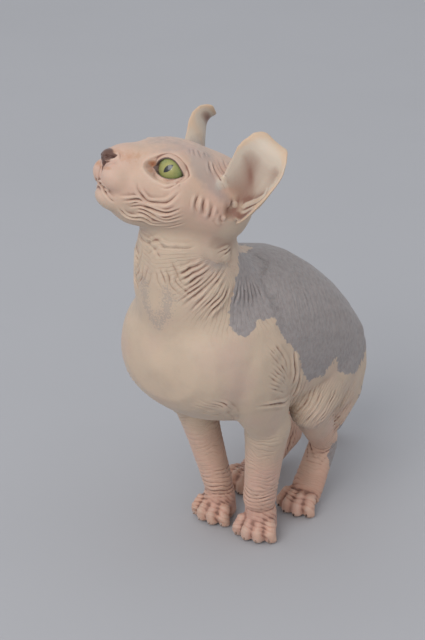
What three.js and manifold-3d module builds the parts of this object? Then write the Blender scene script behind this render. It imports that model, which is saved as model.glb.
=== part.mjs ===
// A hairless cat, life size, standing low on half folded hind legs, its head turned to its right and lifted.
// Millimetres, +Z up. The cat faces -Y and its left side is +X. It is drawn round the middle of its stance,
// and the last lines shift the whole so that the origin lies on the floor, under the middle of its bounds.
import * as THREE from 'three';
import { mergeVertices } from 'three/addons/utils/BufferGeometryUtils.js';
import Module from 'manifold-3d';

const wasm = await Module();
wasm.setup();

// Driving sizes
const GAP = 0.36;
const SIDES = ['left', 'right'];

// The trunk: rows of station y, top z, bottom z, half width and the height of the widest line
const TRUNK = [
  [-118, 173, 173, 0, 173],
  [-112, 200, 148, 31, 173],
  [-99, 217, 133, 47, 173],
  [-75, 228, 118, 58, 172],
  [-45, 233, 107, 63, 168],
  [-15, 231, 101, 64, 161],
  [15, 222, 94, 63, 152],
  [45, 202, 92, 58, 144],
  [70, 176, 99, 48, 138],
  [88, 149, 112, 34, 131],
  [98, 127, 127, 0, 127],
];

// The neck: centre x, y, z, half width, reach forward and reach back
const NECK = [
  [0, -52, 176, 0, 0, 0],
  [0, -57, 192, 46, 56, 46],
  [0, -68, 212, 43, 49, 44],
  [-1, -77, 232, 38, 43, 40],
  [-1, -80, 252, 33, 37, 36],
  [-1, -82, 270, 31, 34, 33],
  [-1, -83, 286, 0, 0, 0],
];

// The head: where it sits, how it is turned, and its own rows in its own frame, nose along -Y
const HEAD_CENTRE = [-0.7, -83, 290.6];
const HEAD_YAW = -34;
const HEAD_LIFT = 27;
const HEAD_ROLL = -7.4;
const HEAD_SCALE = 1.06;
const SKULL = [
  [-60, 4, 4, 0, 4],
  [-57, 12.5, -10, 9.5, 1],
  [-52, 16.5, -18, 14.5, 0],
  [-44, 20.5, -25, 19, 0],
  [-36, 24.5, -28.5, 22.5, 0],
  [-28, 28.5, -29, 26.5, 2],
  [-18, 32.5, -27.5, 32.5, 3],
  [-6, 35.5, -27, 36, 4],
  [8, 36, -25, 38, 6],
  [22, 33, -24, 35, 5],
  [34, 25, -20, 27, 4],
  [43, 4, 4, 0, 4],
];
// Swellings and hollows of the skull: place, reach and rise
const FACE_RELIEF = [
  { at: [31, -17, -3], reach: 11, rise: 3.5 },
  { at: [17, -31, 26], reach: 8, rise: 2.4 },
  { at: [30, -22, 14], reach: 12, rise: 3 },
  { at: [26, -31, 5], reach: 9, rise: 2.6 },
  { at: [25, -13, 26], reach: 10, rise: 2 },
  { at: [16, -43, 8], reach: 6, rise: -2.2 },
  { at: [0, -40, 21], reach: 7, rise: -1.4 },
];
const EYE_CENTRE = [20.4, -22.4, 14.2];
const EYE_AIM = [0.66, -0.75, 0.06];
const EYE_RADIUS = 10.6;
const LID_THICKNESS = 1.4;
const LID_OPENING = { half: 10, up: 7.2, down: 4.6, tilt: 12, drop: 1.6 };
const EAR_ROOT = [29, 25, 4];
const EAR_AXIS = [0.48, -0.21, 0.86];
const EAR_FACING = [0.5, -0.8, -0.3];
// How far up the ear stands straight, then the radius and angle of its curl, its half width, the share of it
// on the side of the crown at the root and at the tip, and its thickness
const EAR = { straight: 48, curlRadius: 7.5, curl: 112, halfWidth: 27.5, inner: [0.5, 0.9], thickness: 1.6 };

// Fore limbs, drawn for the left side: where the shoulder, elbow and print lie, how far the paw turns out,
// and how stout the forearm is
const FORE = {
  left: { shoulder: [43, -60, 168], elbow: [37, -35, 108], paw: [20, -19], turn: 12, girth: 1 },
  right: { shoulder: [43, -60, 168], elbow: [29, -38, 106], paw: [20, -18], turn: 2, girth: 0.9 },
};
const WRIST_HEIGHT = 30;

// Hind limbs: each side folds a little differently, so each has its own knee and hock
const HIND = {
  left: { hip: [28, 54, 142], knee: [48, 2, 111], hock: [26, 56, 51], paw: [24, 34] },
  right: { hip: [28, 54, 140], knee: [48, 6, 106], hock: [30, 86, 26], paw: [30, 34] },
};

const HAUNCH = { at: [31, 41, 112], size: [26, 39, 33] };

// The tail: down from the rump, then along the floor to the cat's right
const TAIL = [
  [0, 76, 146, 0, 0, 0],
  [0, 87, 137, 14, 14, 14],
  [0, 102, 114, 11.6, 11.6, 11.6],
  [-1, 116, 82, 9.3, 9.3, 9.3],
  [-7, 128, 48, 7.9, 7.9, 7.9],
  [-20, 137, 18, 7, 7, 7],
  [-42, 141, 6.2, 6.4, 6.4, 6.4],
  [-72, 140, 5.1, 5.5, 5.5, 5.5],
  [-104, 138, 4.1, 4.5, 4.5, 4.5],
  [-132, 139, 2.9, 3.2, 3.2, 3.2],
  [-144, 140, 2.4, 0, 0, 0],
];
const TAIL_CUTS = { height: 62, side: -60 };

const SKIN = { color: '#c9ab97', roughness: 0.7 };
const EYE_LOOK = { color: '#8fa03c', roughness: 0.1 };
const CLAW_LOOK = { color: '#b59c86', roughness: 0.4 };

const { PI, abs, cos, max, min, sign, sin, sqrt } = Math;
const radians = (degrees) => (degrees * PI) / 180;
const vector = (numbers) => new THREE.Vector3(...numbers);

// A smooth curve through values at stations that never swings past a value.
// Where an end value is zero, the curve leaves it twice as steeply, so that its square root ends round.
function through(stations, values) {
  const steps = values.slice(1).map((value, i) => (value - values[i]) / (stations[i + 1] - stations[i]));
  const slopes = values.map((value, i) => {
    if (i === 0 || i === steps.length) return steps[min(i, steps.length - 1)] * (value === 0 ? 2 : 1);
    const [before, after] = [steps[i - 1], steps[i]];
    return before * after <= 0 ? 0 : (2 * before * after) / (before + after);
  });
  return (at) => {
    let i = 0;
    while (i < steps.length - 1 && at > stations[i + 1]) i += 1;
    const width = stations[i + 1] - stations[i];
    const t = min(max((at - stations[i]) / width, 0), 1);
    const near = values[i] * (1 + 2 * t) + slopes[i] * width * t;
    const far = values[i + 1] * (3 - 2 * t) + slopes[i + 1] * width * (t - 1);
    return near * (1 - t) ** 2 + far * t * t;
  };
}

// A radius that follows the rows through their squares, so that it ends round where it falls to zero
function radiusThrough(stations, values) {
  const square = through(stations, values.map((value) => value * value));
  return (at) => sqrt(max(square(at), 0));
}

// Even steps that crowd towards both ends
const easeEnds = (v, crowd) => (1 - crowd) * v + (crowd * (1 - cos(PI * v))) / 2;

// A closed surface: place(v, angle) gives the point for v from 0 to 1 between its two end points
function closedSurface(around, along, place) {
  const geometry = new THREE.SphereGeometry(1, around, along);
  geometry.deleteAttribute('normal');
  geometry.deleteAttribute('uv');
  const position = geometry.getAttribute('position');
  for (let row = 0; row <= along; row += 1) {
    for (let column = 0; column <= around; column += 1) {
      const point = place(row / along, ((column % around) / around) * 2 * PI);
      position.setXYZ(row * (around + 1) + column, point.x, point.y, point.z);
    }
  }
  return outward(mergeVertices(geometry, 1e-4));
}

// Turns a closed geometry's faces outward
function outward(geometry) {
  const { array } = geometry.getAttribute('position');
  const index = geometry.index.array;
  const corner = (i) => new THREE.Vector3().fromArray(array, 3 * index[i]);
  let volume = 0;
  for (let i = 0; i < index.length; i += 3) volume += corner(i).dot(corner(i + 1).cross(corner(i + 2)));
  if (volume < 0) {
    for (let i = 0; i < index.length; i += 3) [index[i + 1], index[i + 2]] = [index[i + 2], index[i + 1]];
  }
  return geometry;
}

// The point of a round section: an ellipse whose upper and lower halves may differ
function section(angle, half, up, down, power) {
  const shaped = (value) => sign(value) * abs(value) ** (2 / power);
  return [half * shaped(cos(angle)), (sin(angle) > 0 ? up : down) * shaped(sin(angle))];
}

// A body drawn like a ship's hull: upright sections at stations along Y
function hull(rows, { around, along, power = 2.1, crowd = 0.55 }) {
  const stations = rows.map((row) => row[0]);
  const middle = through(stations, rows.map((row) => row[4]));
  const up = radiusThrough(stations, rows.map((row) => row[1] - row[4]));
  const down = radiusThrough(stations, rows.map((row) => row[4] - row[2]));
  const half = radiusThrough(stations, rows.map((row) => row[3]));
  const [first, last] = [stations[0], stations.at(-1)];
  return closedSurface(around, along, (v, angle) => {
    const y = first + (last - first) * easeEnds(v, crowd);
    const [x, z] = section(angle, half(y), up(y), down(y), power);
    return new THREE.Vector3(x, y, middle(y) + z);
  });
}

// A limb: sections square to a path through the rows, wide along the hint
function limb(rows, { around, along, wide = [1, 0, 0], power = 2, crowd = 0.8 }) {
  const path = new THREE.CatmullRomCurve3(rows.map((row) => vector(row.slice(0, 3))), false, 'centripetal');
  const stations = rows.map((row, i) => i);
  const [half, up, down] = [3, 4, 5].map((column) => radiusThrough(stations, rows.map((row) => row[column])));
  const hint = vector(wide);
  return closedSurface(around, along, (v, angle) => {
    const t = path.getUtoTmapping(easeEnds(v, crowd));
    const centre = path.getPoint(t);
    const tangent = path.getTangent(t);
    const side = hint.clone().addScaledVector(tangent, -hint.dot(tangent)).normalize();
    const front = side.clone().cross(tangent).normalize();
    const at = t * (rows.length - 1);
    const [x, z] = section(angle, half(at), up(at), down(at), power);
    return centre.addScaledVector(side, x).addScaledVector(front, z);
  });
}

// An egg with its own half sizes, turned about Z and then tipped about X
function egg(centre, sizes, { around = 14, along = 10, turn = 0, tip = 0 } = {}) {
  const frame = new THREE.Euler(radians(tip), 0, radians(turn), 'ZXY');
  return closedSurface(around, along, (v, angle) => {
    const ring = sin(PI * v);
    const point = new THREE.Vector3(cos(angle) * ring, cos(PI * v), sin(angle) * ring);
    return point.multiply(vector(sizes)).applyEuler(frame).add(vector(centre));
  });
}

// Moves each point of a surface along its normal by what rise(point) gives
function raise(geometry, rise) {
  const moved = geometry.clone();
  moved.computeVertexNormals();
  const position = moved.getAttribute('position');
  const normal = moved.getAttribute('normal');
  const point = new THREE.Vector3();
  const outwardStep = new THREE.Vector3();
  for (let i = 0; i < position.count; i += 1) {
    point.fromBufferAttribute(position, i);
    outwardStep.fromBufferAttribute(normal, i);
    point.addScaledVector(outwardStep, rise(point));
    position.setXYZ(i, point.x, point.y, point.z);
  }
  moved.deleteAttribute('normal');
  return moved;
}

const swell = (geometry, distance = GAP) => raise(geometry, () => distance);

// Swellings and hollows, each drawn on the left and repeated on the right
function relief(geometry, bumps) {
  return raise(geometry, (point) => {
    let total = 0;
    for (const { at, reach, rise } of bumps) {
      const there = vector(at);
      const mirrored = new THREE.Vector3(abs(point.x), point.y, point.z);
      total += rise * Math.exp(-mirrored.distanceToSquared(there) / reach ** 2);
    }
    return total;
  });
}

function mirror(geometry) {
  return outward(geometry.clone().applyMatrix4(new THREE.Matrix4().makeScale(-1, 1, 1)));
}

const onSide = (geometry, side) => (side === 'left' ? geometry : mirror(geometry));

function solid(geometry) {
  return new wasm.Manifold(
    new wasm.Mesh({
      numProp: 3,
      vertProperties: new Float32Array(geometry.getAttribute('position').array),
      triVerts: new Uint32Array(geometry.index.array),
    }),
  );
}

// The geometry of a solid's largest piece
function geometryOf(made) {
  const pieces = made.decompose().sort((a, b) => b.volume() - a.volume());
  const { vertProperties, triVerts } = pieces[0].getMesh();
  const geometry = new THREE.BufferGeometry();
  geometry.setAttribute('position', new THREE.BufferAttribute(vertProperties, 3));
  geometry.setIndex(new THREE.BufferAttribute(triVerts, 1));
  return geometry;
}

const join = (geometries) => geometryOf(geometries.map(solid).reduce((sum, piece) => sum.add(piece)));
const cut = (geometry, tools) => {
  return geometryOf(tools.map(solid).reduce((rest, tool) => rest.subtract(tool), solid(geometry)));
};

// A closed box between two corners
function block([x0, y0, z0], [x1, y1, z1]) {
  const geometry = new THREE.BoxGeometry(x1 - x0, y1 - y0, z1 - z0);
  geometry.translate((x0 + x1) / 2, (y0 + y1) / 2, (z0 + z1) / 2);
  return mergeVertices(geometry.deleteAttribute('normal').deleteAttribute('uv'));
}

// What lies below the floor, cut from whatever stands on it
const underFloor = block([-300, -300, -40], [300, 300, 0]);

// Head
const headFrame = new THREE.Matrix4()
  .makeTranslation(...HEAD_CENTRE)
  .multiply(new THREE.Matrix4().makeRotationZ(radians(HEAD_YAW)))
  .multiply(new THREE.Matrix4().makeRotationX(radians(-HEAD_LIFT)))
  .multiply(new THREE.Matrix4().makeRotationY(radians(HEAD_ROLL)))
  .multiply(new THREE.Matrix4().makeScale(HEAD_SCALE, HEAD_SCALE, HEAD_SCALE));

const skull = relief(hull(SKULL, { around: 28, along: 22, power: 2.15 }), FACE_RELIEF);

// The frame of the left eye: Y runs out of it, X inwards to the nose and Z up
function eyeFrame() {
  const aim = vector(EYE_AIM).normalize();
  const inward = aim.clone().cross(new THREE.Vector3(0, 0, 1)).normalize();
  const up = inward.clone().cross(aim).normalize();
  return new THREE.Matrix4().makeBasis(inward, aim, up).setPosition(vector(EYE_CENTRE));
}

function eyeball(radius) {
  return egg(EYE_CENTRE, [radius, radius, radius], { around: 14, along: 10 });
}

// The almond between the lids, as a block that runs from the middle of the eye outward.
// Its inner corner lies lower than its outer one.
function lidOpening() {
  const reach = EYE_RADIUS + 8;
  const almond = closedSurface(16, 4, (v, angle) => {
    const depth = reach * min(max(2 * v - 0.5, 0), 1);
    const open = v === 0 || v === 1 ? 0 : 1;
    const lift = sin(angle) > 0 ? LID_OPENING.up : LID_OPENING.down;
    const height = lift * sign(sin(angle)) * abs(sin(angle)) ** 1.4;
    return new THREE.Vector3(LID_OPENING.half * cos(angle) * open, depth, height * open);
  });
  almond.applyMatrix4(new THREE.Matrix4().makeRotationY(radians(LID_OPENING.tilt)));
  almond.translate(0, 0, -LID_OPENING.drop);
  return outward(almond.applyMatrix4(eyeFrame()));
}

// A thin groove along a path over the surface
function groove(points, radius) {
  const last = points.length - 1;
  const rows = points.map((point, i) => [...point, ...Array(3).fill(i % last === 0 ? 0 : radius)]);
  return limb(rows, { around: 6, along: points.length + 3, wide: [0, 0, 1], crowd: 0.3 });
}

const WHISKER_PAD = { at: [8.4, -48.5, -4], size: [9.4, 12.8, 9.8] };
const CHIN = { at: [0, -44.5, -17.5], size: [11.5, 12.5, 8.2] };
const NOSE = { at: [0, -56, 6.4], size: [6.6, 7, 5.2] };
const NOSTRIL = { at: [4.4, -62, 6.4], size: [1.6, 3.6, 1.7] };
const EAR_CANAL = { at: [38, 18, 5], size: [7, 5.5, 6.5] };
// The line of the mouth: it starts under the nose, passes below each whisker pad and ends in the cheek
const MOUTH = { sweep: 74, middle: -9, low: -13.5, corner: -11, groove: 1.3, centreY: -34 };

// The first point of a surface that a ray meets on its way from one point to another
function onSurface(geometry, from, to) {
  const ray = new THREE.Raycaster(from, to.clone().sub(from).normalize());
  return ray.intersectObject(new THREE.Mesh(geometry))[0].point;
}

function mouthLine(flesh) {
  const points = [];
  for (let step = -6; step <= 6; step += 1) {
    const side = abs(step) / 6;
    const angle = radians((step / 6) * MOUTH.sweep);
    const dip = sin(PI * min(side * 1.1, 1));
    const z = MOUTH.middle * (1 - side) + MOUTH.corner * side + (MOUTH.low - MOUTH.corner) * dip;
    const outside = new THREE.Vector3(80 * sin(angle), MOUTH.centreY - 80 * cos(angle), z);
    points.push(onSurface(flesh, outside, new THREE.Vector3(0, MOUTH.centreY, z)).toArray());
  }
  return groove(points, MOUTH.groove);
}

function makeHead() {
  const onBothSides = (geometry) => [geometry, mirror(geometry)];
  const orbit = egg(EYE_CENTRE, Array(3).fill(EYE_RADIUS + LID_THICKNESS), { around: 18, along: 11 });
  const pad = egg(WHISKER_PAD.at, WHISKER_PAD.size, { around: 12, along: 9 });
  const flesh = join([
    skull,
    ...onBothSides(orbit),
    ...onBothSides(pad),
    egg(CHIN.at, CHIN.size, { around: 12, along: 7 }),
    egg(NOSE.at, NOSE.size, { around: 10, along: 7 }),
  ]);
  return cut(flesh, [
    ...onBothSides(eyeball(EYE_RADIUS + GAP)),
    ...onBothSides(lidOpening()),
    ...onBothSides(egg(NOSTRIL.at, NOSTRIL.size, { around: 8, along: 6, turn: 30 })),
    ...onBothSides(egg(EAR_CANAL.at, EAR_CANAL.size, { around: 10, along: 7 })),
    mouthLine(flesh),
  ]);
}

// An ear: a thin scoop whose section is an arc, opening along its facing, with its tip curled back
function earShell({ straight, curlRadius, curl, halfWidth, inner, thickness }) {
  const axis = vector(EAR_AXIS).normalize();
  const facing = vector(EAR_FACING);
  facing.addScaledVector(axis, -facing.dot(axis)).normalize();
  const across = axis.clone().cross(facing).normalize();
  const length = straight + curlRadius * radians(curl);
  const widths = [0, 0.74, 0.95, 1, 0.88, 0.72, 0.55, 0.36, 0].map((share) => share * halfWidth);
  const outline = radiusThrough([0, 0.08, 0.28, 0.5, 0.66, 0.78, 0.89, 0.96, 1], widths);
  const wrap = through([0, 0.3, 0.6, 1], [110, 84, 60, 22].map(radians));
  const middlePoint = (v, s) => {
    const run = length * v;
    const bend = max(run - straight, 0) / curlRadius;
    const rise = min(run, straight) + curlRadius * sin(bend);
    const back = curlRadius * (1 - cos(bend));
    const radius = outline(v) / wrap(v);
    const share = s < 0 ? inner[0] + (inner[1] - inner[0]) * v : 1;
    const open = facing.clone().multiplyScalar(cos(bend)).addScaledVector(axis, sin(bend));
    return vector(EAR_ROOT)
      .addScaledVector(axis, rise)
      .addScaledVector(facing, -back)
      .addScaledVector(across, share * radius * sin(wrap(v) * s))
      .addScaledVector(open, radius * (1 - cos(wrap(v) * s)));
  };
  return closedSurface(24, 16, (step, angle) => {
    const v = easeEnds(step, 0.5);
    const s = -cos(angle);
    const point = middlePoint(v, s);
    if (step === 0 || step === 1) return point;
    const alongEar = middlePoint(v + 0.01, s).sub(middlePoint(v - 0.01, s));
    const acrossEar = middlePoint(v, s + 0.02).sub(middlePoint(v, s - 0.02));
    const normal = alongEar.cross(acrossEar).normalize();
    const side = sign(sin(angle)) * sqrt(abs(sin(angle)));
    return point.addScaledVector(normal, (side * thickness) / 2);
  });
}

// A toe of the paw at x: down from the knuckle to its tip, which lies flat on the floor
function toe(x, reach, { knuckle, radius }) {
  return limb(
    [
      [x * 0.55, -reach * 0.1, knuckle - 3, 0, 0, 0],
      [x * 0.7, -reach * 0.35, knuckle - 1, radius, radius, radius],
      [x * 0.9, -reach * 0.75, knuckle * 0.66, radius, radius, radius * 1.1],
      [x * 1.02, -reach + radius * 0.6, radius * 0.8, radius * 0.95, radius * 0.9, radius],
      [x * 1.04, -reach, radius * 0.65, 0, 0, 0],
    ],
    { around: 8, along: 5 },
  );
}

// The claw of that toe: a short horn that shows a little past the toe and stays off the floor
function claw(x, reach, { radius }) {
  return limb(
    [
      [x * 1.02, -reach + 3.4, radius * 1.3, 0, 0, 0],
      [x * 1.03, -reach + 1.6, radius * 1.3, 1, 1.6, 1.6],
      [x * 1.04, -reach - 0.5, radius * 1.05, 0.9, 1.2, 1.2],
      [x * 1.05, -reach - 1.8, radius * 0.6, 0, 0, 0],
    ],
    { around: 5, along: 4 },
  );
}

const FORE_TOES = {
  spread: [-13.2, -4.6, 4.6, 13.2],
  reach: [14.5, 18.5, 18.5, 14.5],
  knuckle: 16.5,
  radius: 4.5,
};
const HIND_TOES = {
  spread: [-12.8, -4.5, 4.5, 12.8],
  reach: [16, 20.5, 20.5, 16],
  knuckle: 15.5,
  radius: 4.4,
};

// The paw in its own frame, over the middle of its print
function pawShape(toes, body) {
  const pieces = toes.spread.map((x, i) => toe(x, toes.reach[i], toes));
  return join([...pieces, ...body]);
}

function place(geometry, [x, y], turn) {
  const frame = new THREE.Matrix4().makeTranslation(x, y, 0);
  frame.multiply(new THREE.Matrix4().makeRotationZ(radians(turn)));
  return geometry.clone().applyMatrix4(frame);
}

const nodes = {};
nodes.head = makeHead().applyMatrix4(headFrame);
const earLeft = cut(earShell(EAR), [swell(skull)]);
for (const side of SIDES) {
  nodes[`eye_${side}`] = onSide(eyeball(EYE_RADIUS), side).applyMatrix4(headFrame);
  nodes[`ear_${side}`] = onSide(earLeft.clone(), side).applyMatrix4(headFrame);
}

const between = (a, b, t) => a.map((value, i) => value + (b[i] - value) * t);
// Rows of a limb along a straight line from a to b: where on it, half width, reach forward and reach back
const alongLine = (a, b, rows) => rows.map(([t, ...radii]) => [...between(a, b, t), ...radii]);

function upperArm({ shoulder, elbow }) {
  const rows = [
    [-0.45, 0, 0, 0],
    [-0.2, 17, 22, 27],
    [0.1, 20.5, 26, 32],
    [0.45, 19.5, 23, 29],
    [0.75, 17, 19.5, 23],
    [1, 14.5, 16.5, 17.5],
    [1.15, 0, 0, 0],
  ];
  return limb(alongLine(shoulder, elbow, rows), { around: 14, along: 10 });
}

function forearm({ elbow, paw, girth }) {
  const wrist = [paw[0], paw[1] - 2, WRIST_HEIGHT];
  const rows = [
    [-0.13, 0, 0, 0],
    [-0.03, 17.5, 18, 18],
    [0.14, 15.8, 16.6, 16.6],
    [0.34, 14, 15, 15],
    [0.55, 13.2, 14, 14],
    [0.82, 12.2, 12.6, 12.6],
    [1.02, 12, 12.4, 12.4],
    [1.15, 0, 0, 0],
  ];
  const stout = rows.map(([t, ...radii]) => [t, ...radii.map((radius) => radius * girth)]);
  return limb(alongLine(elbow, wrist, stout), { around: 14, along: 9 });
}

function forePaw() {
  const palm = egg([0, -1, 7.6], [12.3, 13, 9], { around: 12, along: 8 });
  const wristRows = [
    [0, 3, -3, 0, 0, 0],
    [0, 1, 7, 11.8, 11.4, 11.4],
    [0, -1, 20, 11.8, 12.2, 12.2],
    [0, -2, 35, 0, 0, 0],
  ];
  return pawShape(FORE_TOES, [palm, limb(wristRows, { around: 12, along: 7 })]);
}

// The thigh runs forward from the hip, the ham down from the rump to the upper part of the shank,
// and the round of the haunch fills the angle between them
function thigh({ hip, knee, hock }) {
  const rows = [
    [-0.4, 0, 0, 0],
    [-0.05, 27, 30, 38],
    [0.35, 26, 33, 40],
    [0.7, 22, 28, 34],
    [1, 16, 20, 22],
    [1.3, 0, 0, 0],
  ];
  const [x, y, z] = between(knee, hock, 0.62);
  const ham = [
    [24, 64, 150, 0, 0, 0],
    [28, 66, 132, 21, 25, 26],
    [33, 61, 106, 20, 24, 25],
    [x + 1, y + 12, z + 6, 13, 15, 16],
    [x, y + 10, z - 10, 0, 0, 0],
  ];
  return join([
    limb(alongLine(hip, knee, rows), { around: 14, along: 8 }),
    limb(ham, { around: 12, along: 7 }),
    egg(HAUNCH.at, HAUNCH.size, { around: 14, along: 10 }),
  ]);
}

function shank({ knee, hock }) {
  const rows = [
    [-0.2, 0, 0, 0],
    [0, 13, 15, 15],
    [0.35, 13, 15, 15],
    [0.7, 10.8, 12, 12],
    [0.98, 10.3, 11, 11],
    [1.12, 0, 0, 0],
  ];
  return limb(alongLine(knee, hock, rows), { around: 14, along: 9 });
}

function hindPaw({ hock, paw }) {
  const heel = [hock[0] - paw[0], hock[1] - paw[1], hock[2]];
  const ball = [0, -2, 8.2];
  const rows = [
    [-0.14, 0, 0, 0],
    [0, 10.5, 11, 11],
    [0.45, 11.5, 10.5, 10],
    [0.9, 12.5, 9.5, 9.5],
    [1.15, 0, 0, 0],
  ];
  return pawShape(HIND_TOES, [limb(alongLine(heel, ball, rows), { around: 14, along: 9 })]);
}

// Copies of a body moved a gap's width forward, up and down
function shifted(geometry) {
  const ways = [[0, -GAP, 0], [0, 0, GAP], [0, 0, -GAP]];
  return ways.map((way) => geometry.clone().translate(...way));
}

// Each toe's claw, cut back to where it leaves the foot
function addClaws(name, toes, foot, put) {
  toes.spread.forEach((x, i) => {
    nodes[`${name}_${i + 1}`] = cut(put(claw(x, toes.reach[i], toes)), [foot, ...shifted(foot)]);
  });
}

// What is cut out of the trunk where the limbs grow from it
const limbRoots = [];
for (const side of SIDES) {
  const fore = FORE[side];
  const hind = HIND[side];
  const arm = onSide(upperArm(fore), side);
  const lowerArm = onSide(forearm(fore), side);
  const foreFoot = onSide(place(forePaw(), fore.paw, fore.turn), side);
  const haunch = onSide(thigh(hind), side);
  const lowerLeg = onSide(shank(hind), side);
  const hindFoot = onSide(place(hindPaw(hind), hind.paw, 0), side);
  nodes[`upper_arm_${side}`] = cut(arm, [swell(lowerArm)]);
  nodes[`forearm_${side}`] = cut(lowerArm, [swell(foreFoot)]);
  nodes[`thigh_${side}`] = cut(haunch, [swell(lowerLeg)]);
  nodes[`shank_${side}`] = cut(lowerLeg, [swell(hindFoot)]);
  nodes[`fore_paw_${side}`] = cut(foreFoot, [underFloor]);
  nodes[`hind_paw_${side}`] = cut(hindFoot, [underFloor]);
  const putFore = (piece) => onSide(place(piece, fore.paw, fore.turn), side);
  const putHind = (piece) => onSide(place(piece, hind.paw, 0), side);
  addClaws(`claw_fore_${side}`, FORE_TOES, foreFoot, putFore);
  addClaws(`claw_hind_${side}`, HIND_TOES, hindFoot, putHind);
  limbRoots.push(arm, lowerArm, haunch, lowerLeg);
}

const trunk = hull(TRUNK, { around: 26, along: 18, power: 2.1 });
const neck = limb(NECK, { around: 20, along: 8, crowd: 0.5 });
const tail = limb(TAIL, { around: 10, along: 26, crowd: 0.2 });
nodes.torso = cut(trunk, [...limbRoots, tail].map((piece) => swell(piece)));
nodes.neck = cut(neck, [swell(trunk), swell(skull).applyMatrix4(headFrame)]);

// The tail in three lengths, parted level above the bend and upright beyond it
const aboveBend = block([-300, -300, TAIL_CUTS.height - GAP / 2], [300, 300, 400]);
const belowCut = block([-300, -300, -40], [300, 300, TAIL_CUTS.height + GAP / 2]);
const beyondBend = block([-300, -300, -40], [TAIL_CUTS.side + GAP / 2, 300, 400]);
const beforeTip = block([TAIL_CUTS.side - GAP / 2, -300, -40], [300, 300, 400]);
nodes.tail_root = cut(tail, [belowCut]);
nodes.tail_bend = cut(tail, [aboveBend, beyondBend, underFloor]);
nodes.tail_tip = cut(tail, [beforeTip, underFloor]);

const body = new THREE.Group();
for (const [name, geometry] of Object.entries(nodes)) {
  const look = name.startsWith('eye') ? EYE_LOOK : name.startsWith('claw') ? CLAW_LOOK : SKIN;
  const mesh = new THREE.Mesh(geometry, new THREE.MeshStandardMaterial(look));
  mesh.name = name;
  body.add(mesh);
}

// The origin goes on the floor, under the middle of the bounds
const bounds = new THREE.Box3().setFromObject(body, true);
const middle = bounds.getCenter(new THREE.Vector3());
body.position.set(-middle.x, -middle.y, -bounds.min.z);

const cat = new THREE.Group();
cat.add(body);

export default cat;
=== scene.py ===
import math

import bmesh
import bpy
import numpy as np
from mathutils import Matrix, Vector
from mathutils.bvhtree import BVHTree


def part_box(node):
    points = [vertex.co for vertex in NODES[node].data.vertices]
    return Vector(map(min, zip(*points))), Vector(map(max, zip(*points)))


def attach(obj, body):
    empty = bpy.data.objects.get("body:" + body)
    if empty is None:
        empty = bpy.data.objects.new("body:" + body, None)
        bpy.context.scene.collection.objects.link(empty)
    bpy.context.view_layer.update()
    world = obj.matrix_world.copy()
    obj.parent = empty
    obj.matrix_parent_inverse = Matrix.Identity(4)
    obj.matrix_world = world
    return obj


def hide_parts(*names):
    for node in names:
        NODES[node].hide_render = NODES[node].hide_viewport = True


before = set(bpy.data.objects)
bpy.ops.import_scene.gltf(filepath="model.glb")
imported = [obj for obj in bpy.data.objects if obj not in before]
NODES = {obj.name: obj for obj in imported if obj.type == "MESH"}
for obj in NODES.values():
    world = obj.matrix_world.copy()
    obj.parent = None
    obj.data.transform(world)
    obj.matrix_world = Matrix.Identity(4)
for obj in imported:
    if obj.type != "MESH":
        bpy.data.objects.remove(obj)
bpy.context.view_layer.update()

bl_info = {
    "name": "Hairless Cat",
    "version": (1, 0, 0),
    "blender": (4, 5, 0),
    "location": "View3D > Sidebar > Hairless Cat",
    "description": "Dresses the solids of a life-size hairless cat in skin, eyes and claws",
    "category": "Add Mesh",
}

CLAWS = sorted(name for name in NODES if name.startswith("claw"))
FLESH = sorted(name for name in NODES if not name.startswith(("eye", "claw")))
SIDES = {"left": 1, "right": -1}
MM = 0.001

# The head of the solids: its own frame, nose along -Y, in millimetres round the middle of the stance
HEAD_CENTRE = (-0.7, -83, 290.6)
HEAD_YAW = -34
HEAD_LIFT = 27
HEAD_ROLL = -7.4
HEAD_SCALE = 1.06

# The eyes in the head's frame, for the left side
EYE_CENTRE = (20.4, -22.4, 14.2)
EYE_AIM = (0.66, -0.75, 0.06)
EYE_RADIUS = 10.6

# The opening of the left eye, seen along its aim: inwards to the nose and up, from the inner corner on
EYE_OPENING = (
    (11.6, -3.6), (9.4, -0.6), (6.8, 2.6), (3.6, 4.9), (0.0, 5.5), (-3.4, 4.9), (-6.6, 3.0), (-9.0, 0.7),
    (-10.2, -0.9), (-8.6, -2.9), (-5.6, -5.2), (-2.4, -6.5), (1.0, -6.8), (4.6, -6.3), (8.2, -5.3),
)

# How far round the eye's middle the skin belongs to it, in millimetres, and the square of the least height of
# a ball before that middle
EYE_AROUND = 18
BALL_FLOOR_SQUARE = 26

# The slit of the pupil in the same view: its middle, its half length and half width, and its lean in degrees
PUPIL_MIDDLE = (-0.9, -0.4)
PUPIL_HALF = (1.65, 3.9)
PUPIL_LEAN = 31
IRIS_RADIUS = 8.4

# The ears in the head's frame, for the left side
EAR_ROOT = (29, 25, 4)
EAR_AXIS = (0.48, -0.21, 0.86)
# The front edge of the ear where it melts into the head
EAR_FRONT_EDGE = ((37, -3, 33), (39, 2, 29), (37, 9, 22), (35, 15, 16), (34, 20, 10))

# The nose leather of the left half, from the front: outwards and up
NOSE_LEATHER = (
    (-2, 11.4), (3.0, 11.0), (6.0, 9.8), (9.4, 9.4), (9.6, 7.4), (6.8, 4.6), (4.0, 3.2), (1.6, 0.4),
    (0.6, -4.5),
    (-2, -4.5),
)
# How far forward the leather begins in the head's frame at its middle height, how much further for each
# millimetre up, and behind which place there is none
LEATHER_FRONT = 55.4
LEATHER_MIDDLE = 6
LEATHER_LEAN = 0.42
LEATHER_BEFORE = -51

# The camera of the photograph, in the frame of the stance
CAMERA_AZIMUTH = 38
CAMERA_ELEVATION = 25
CAMERA_DISTANCE = 1350
CAMERA_TARGET = (-30.5, -14.2, 163.3)
PIXELS_PER_MM = 1.34
IMAGE = (425, 640)

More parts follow.
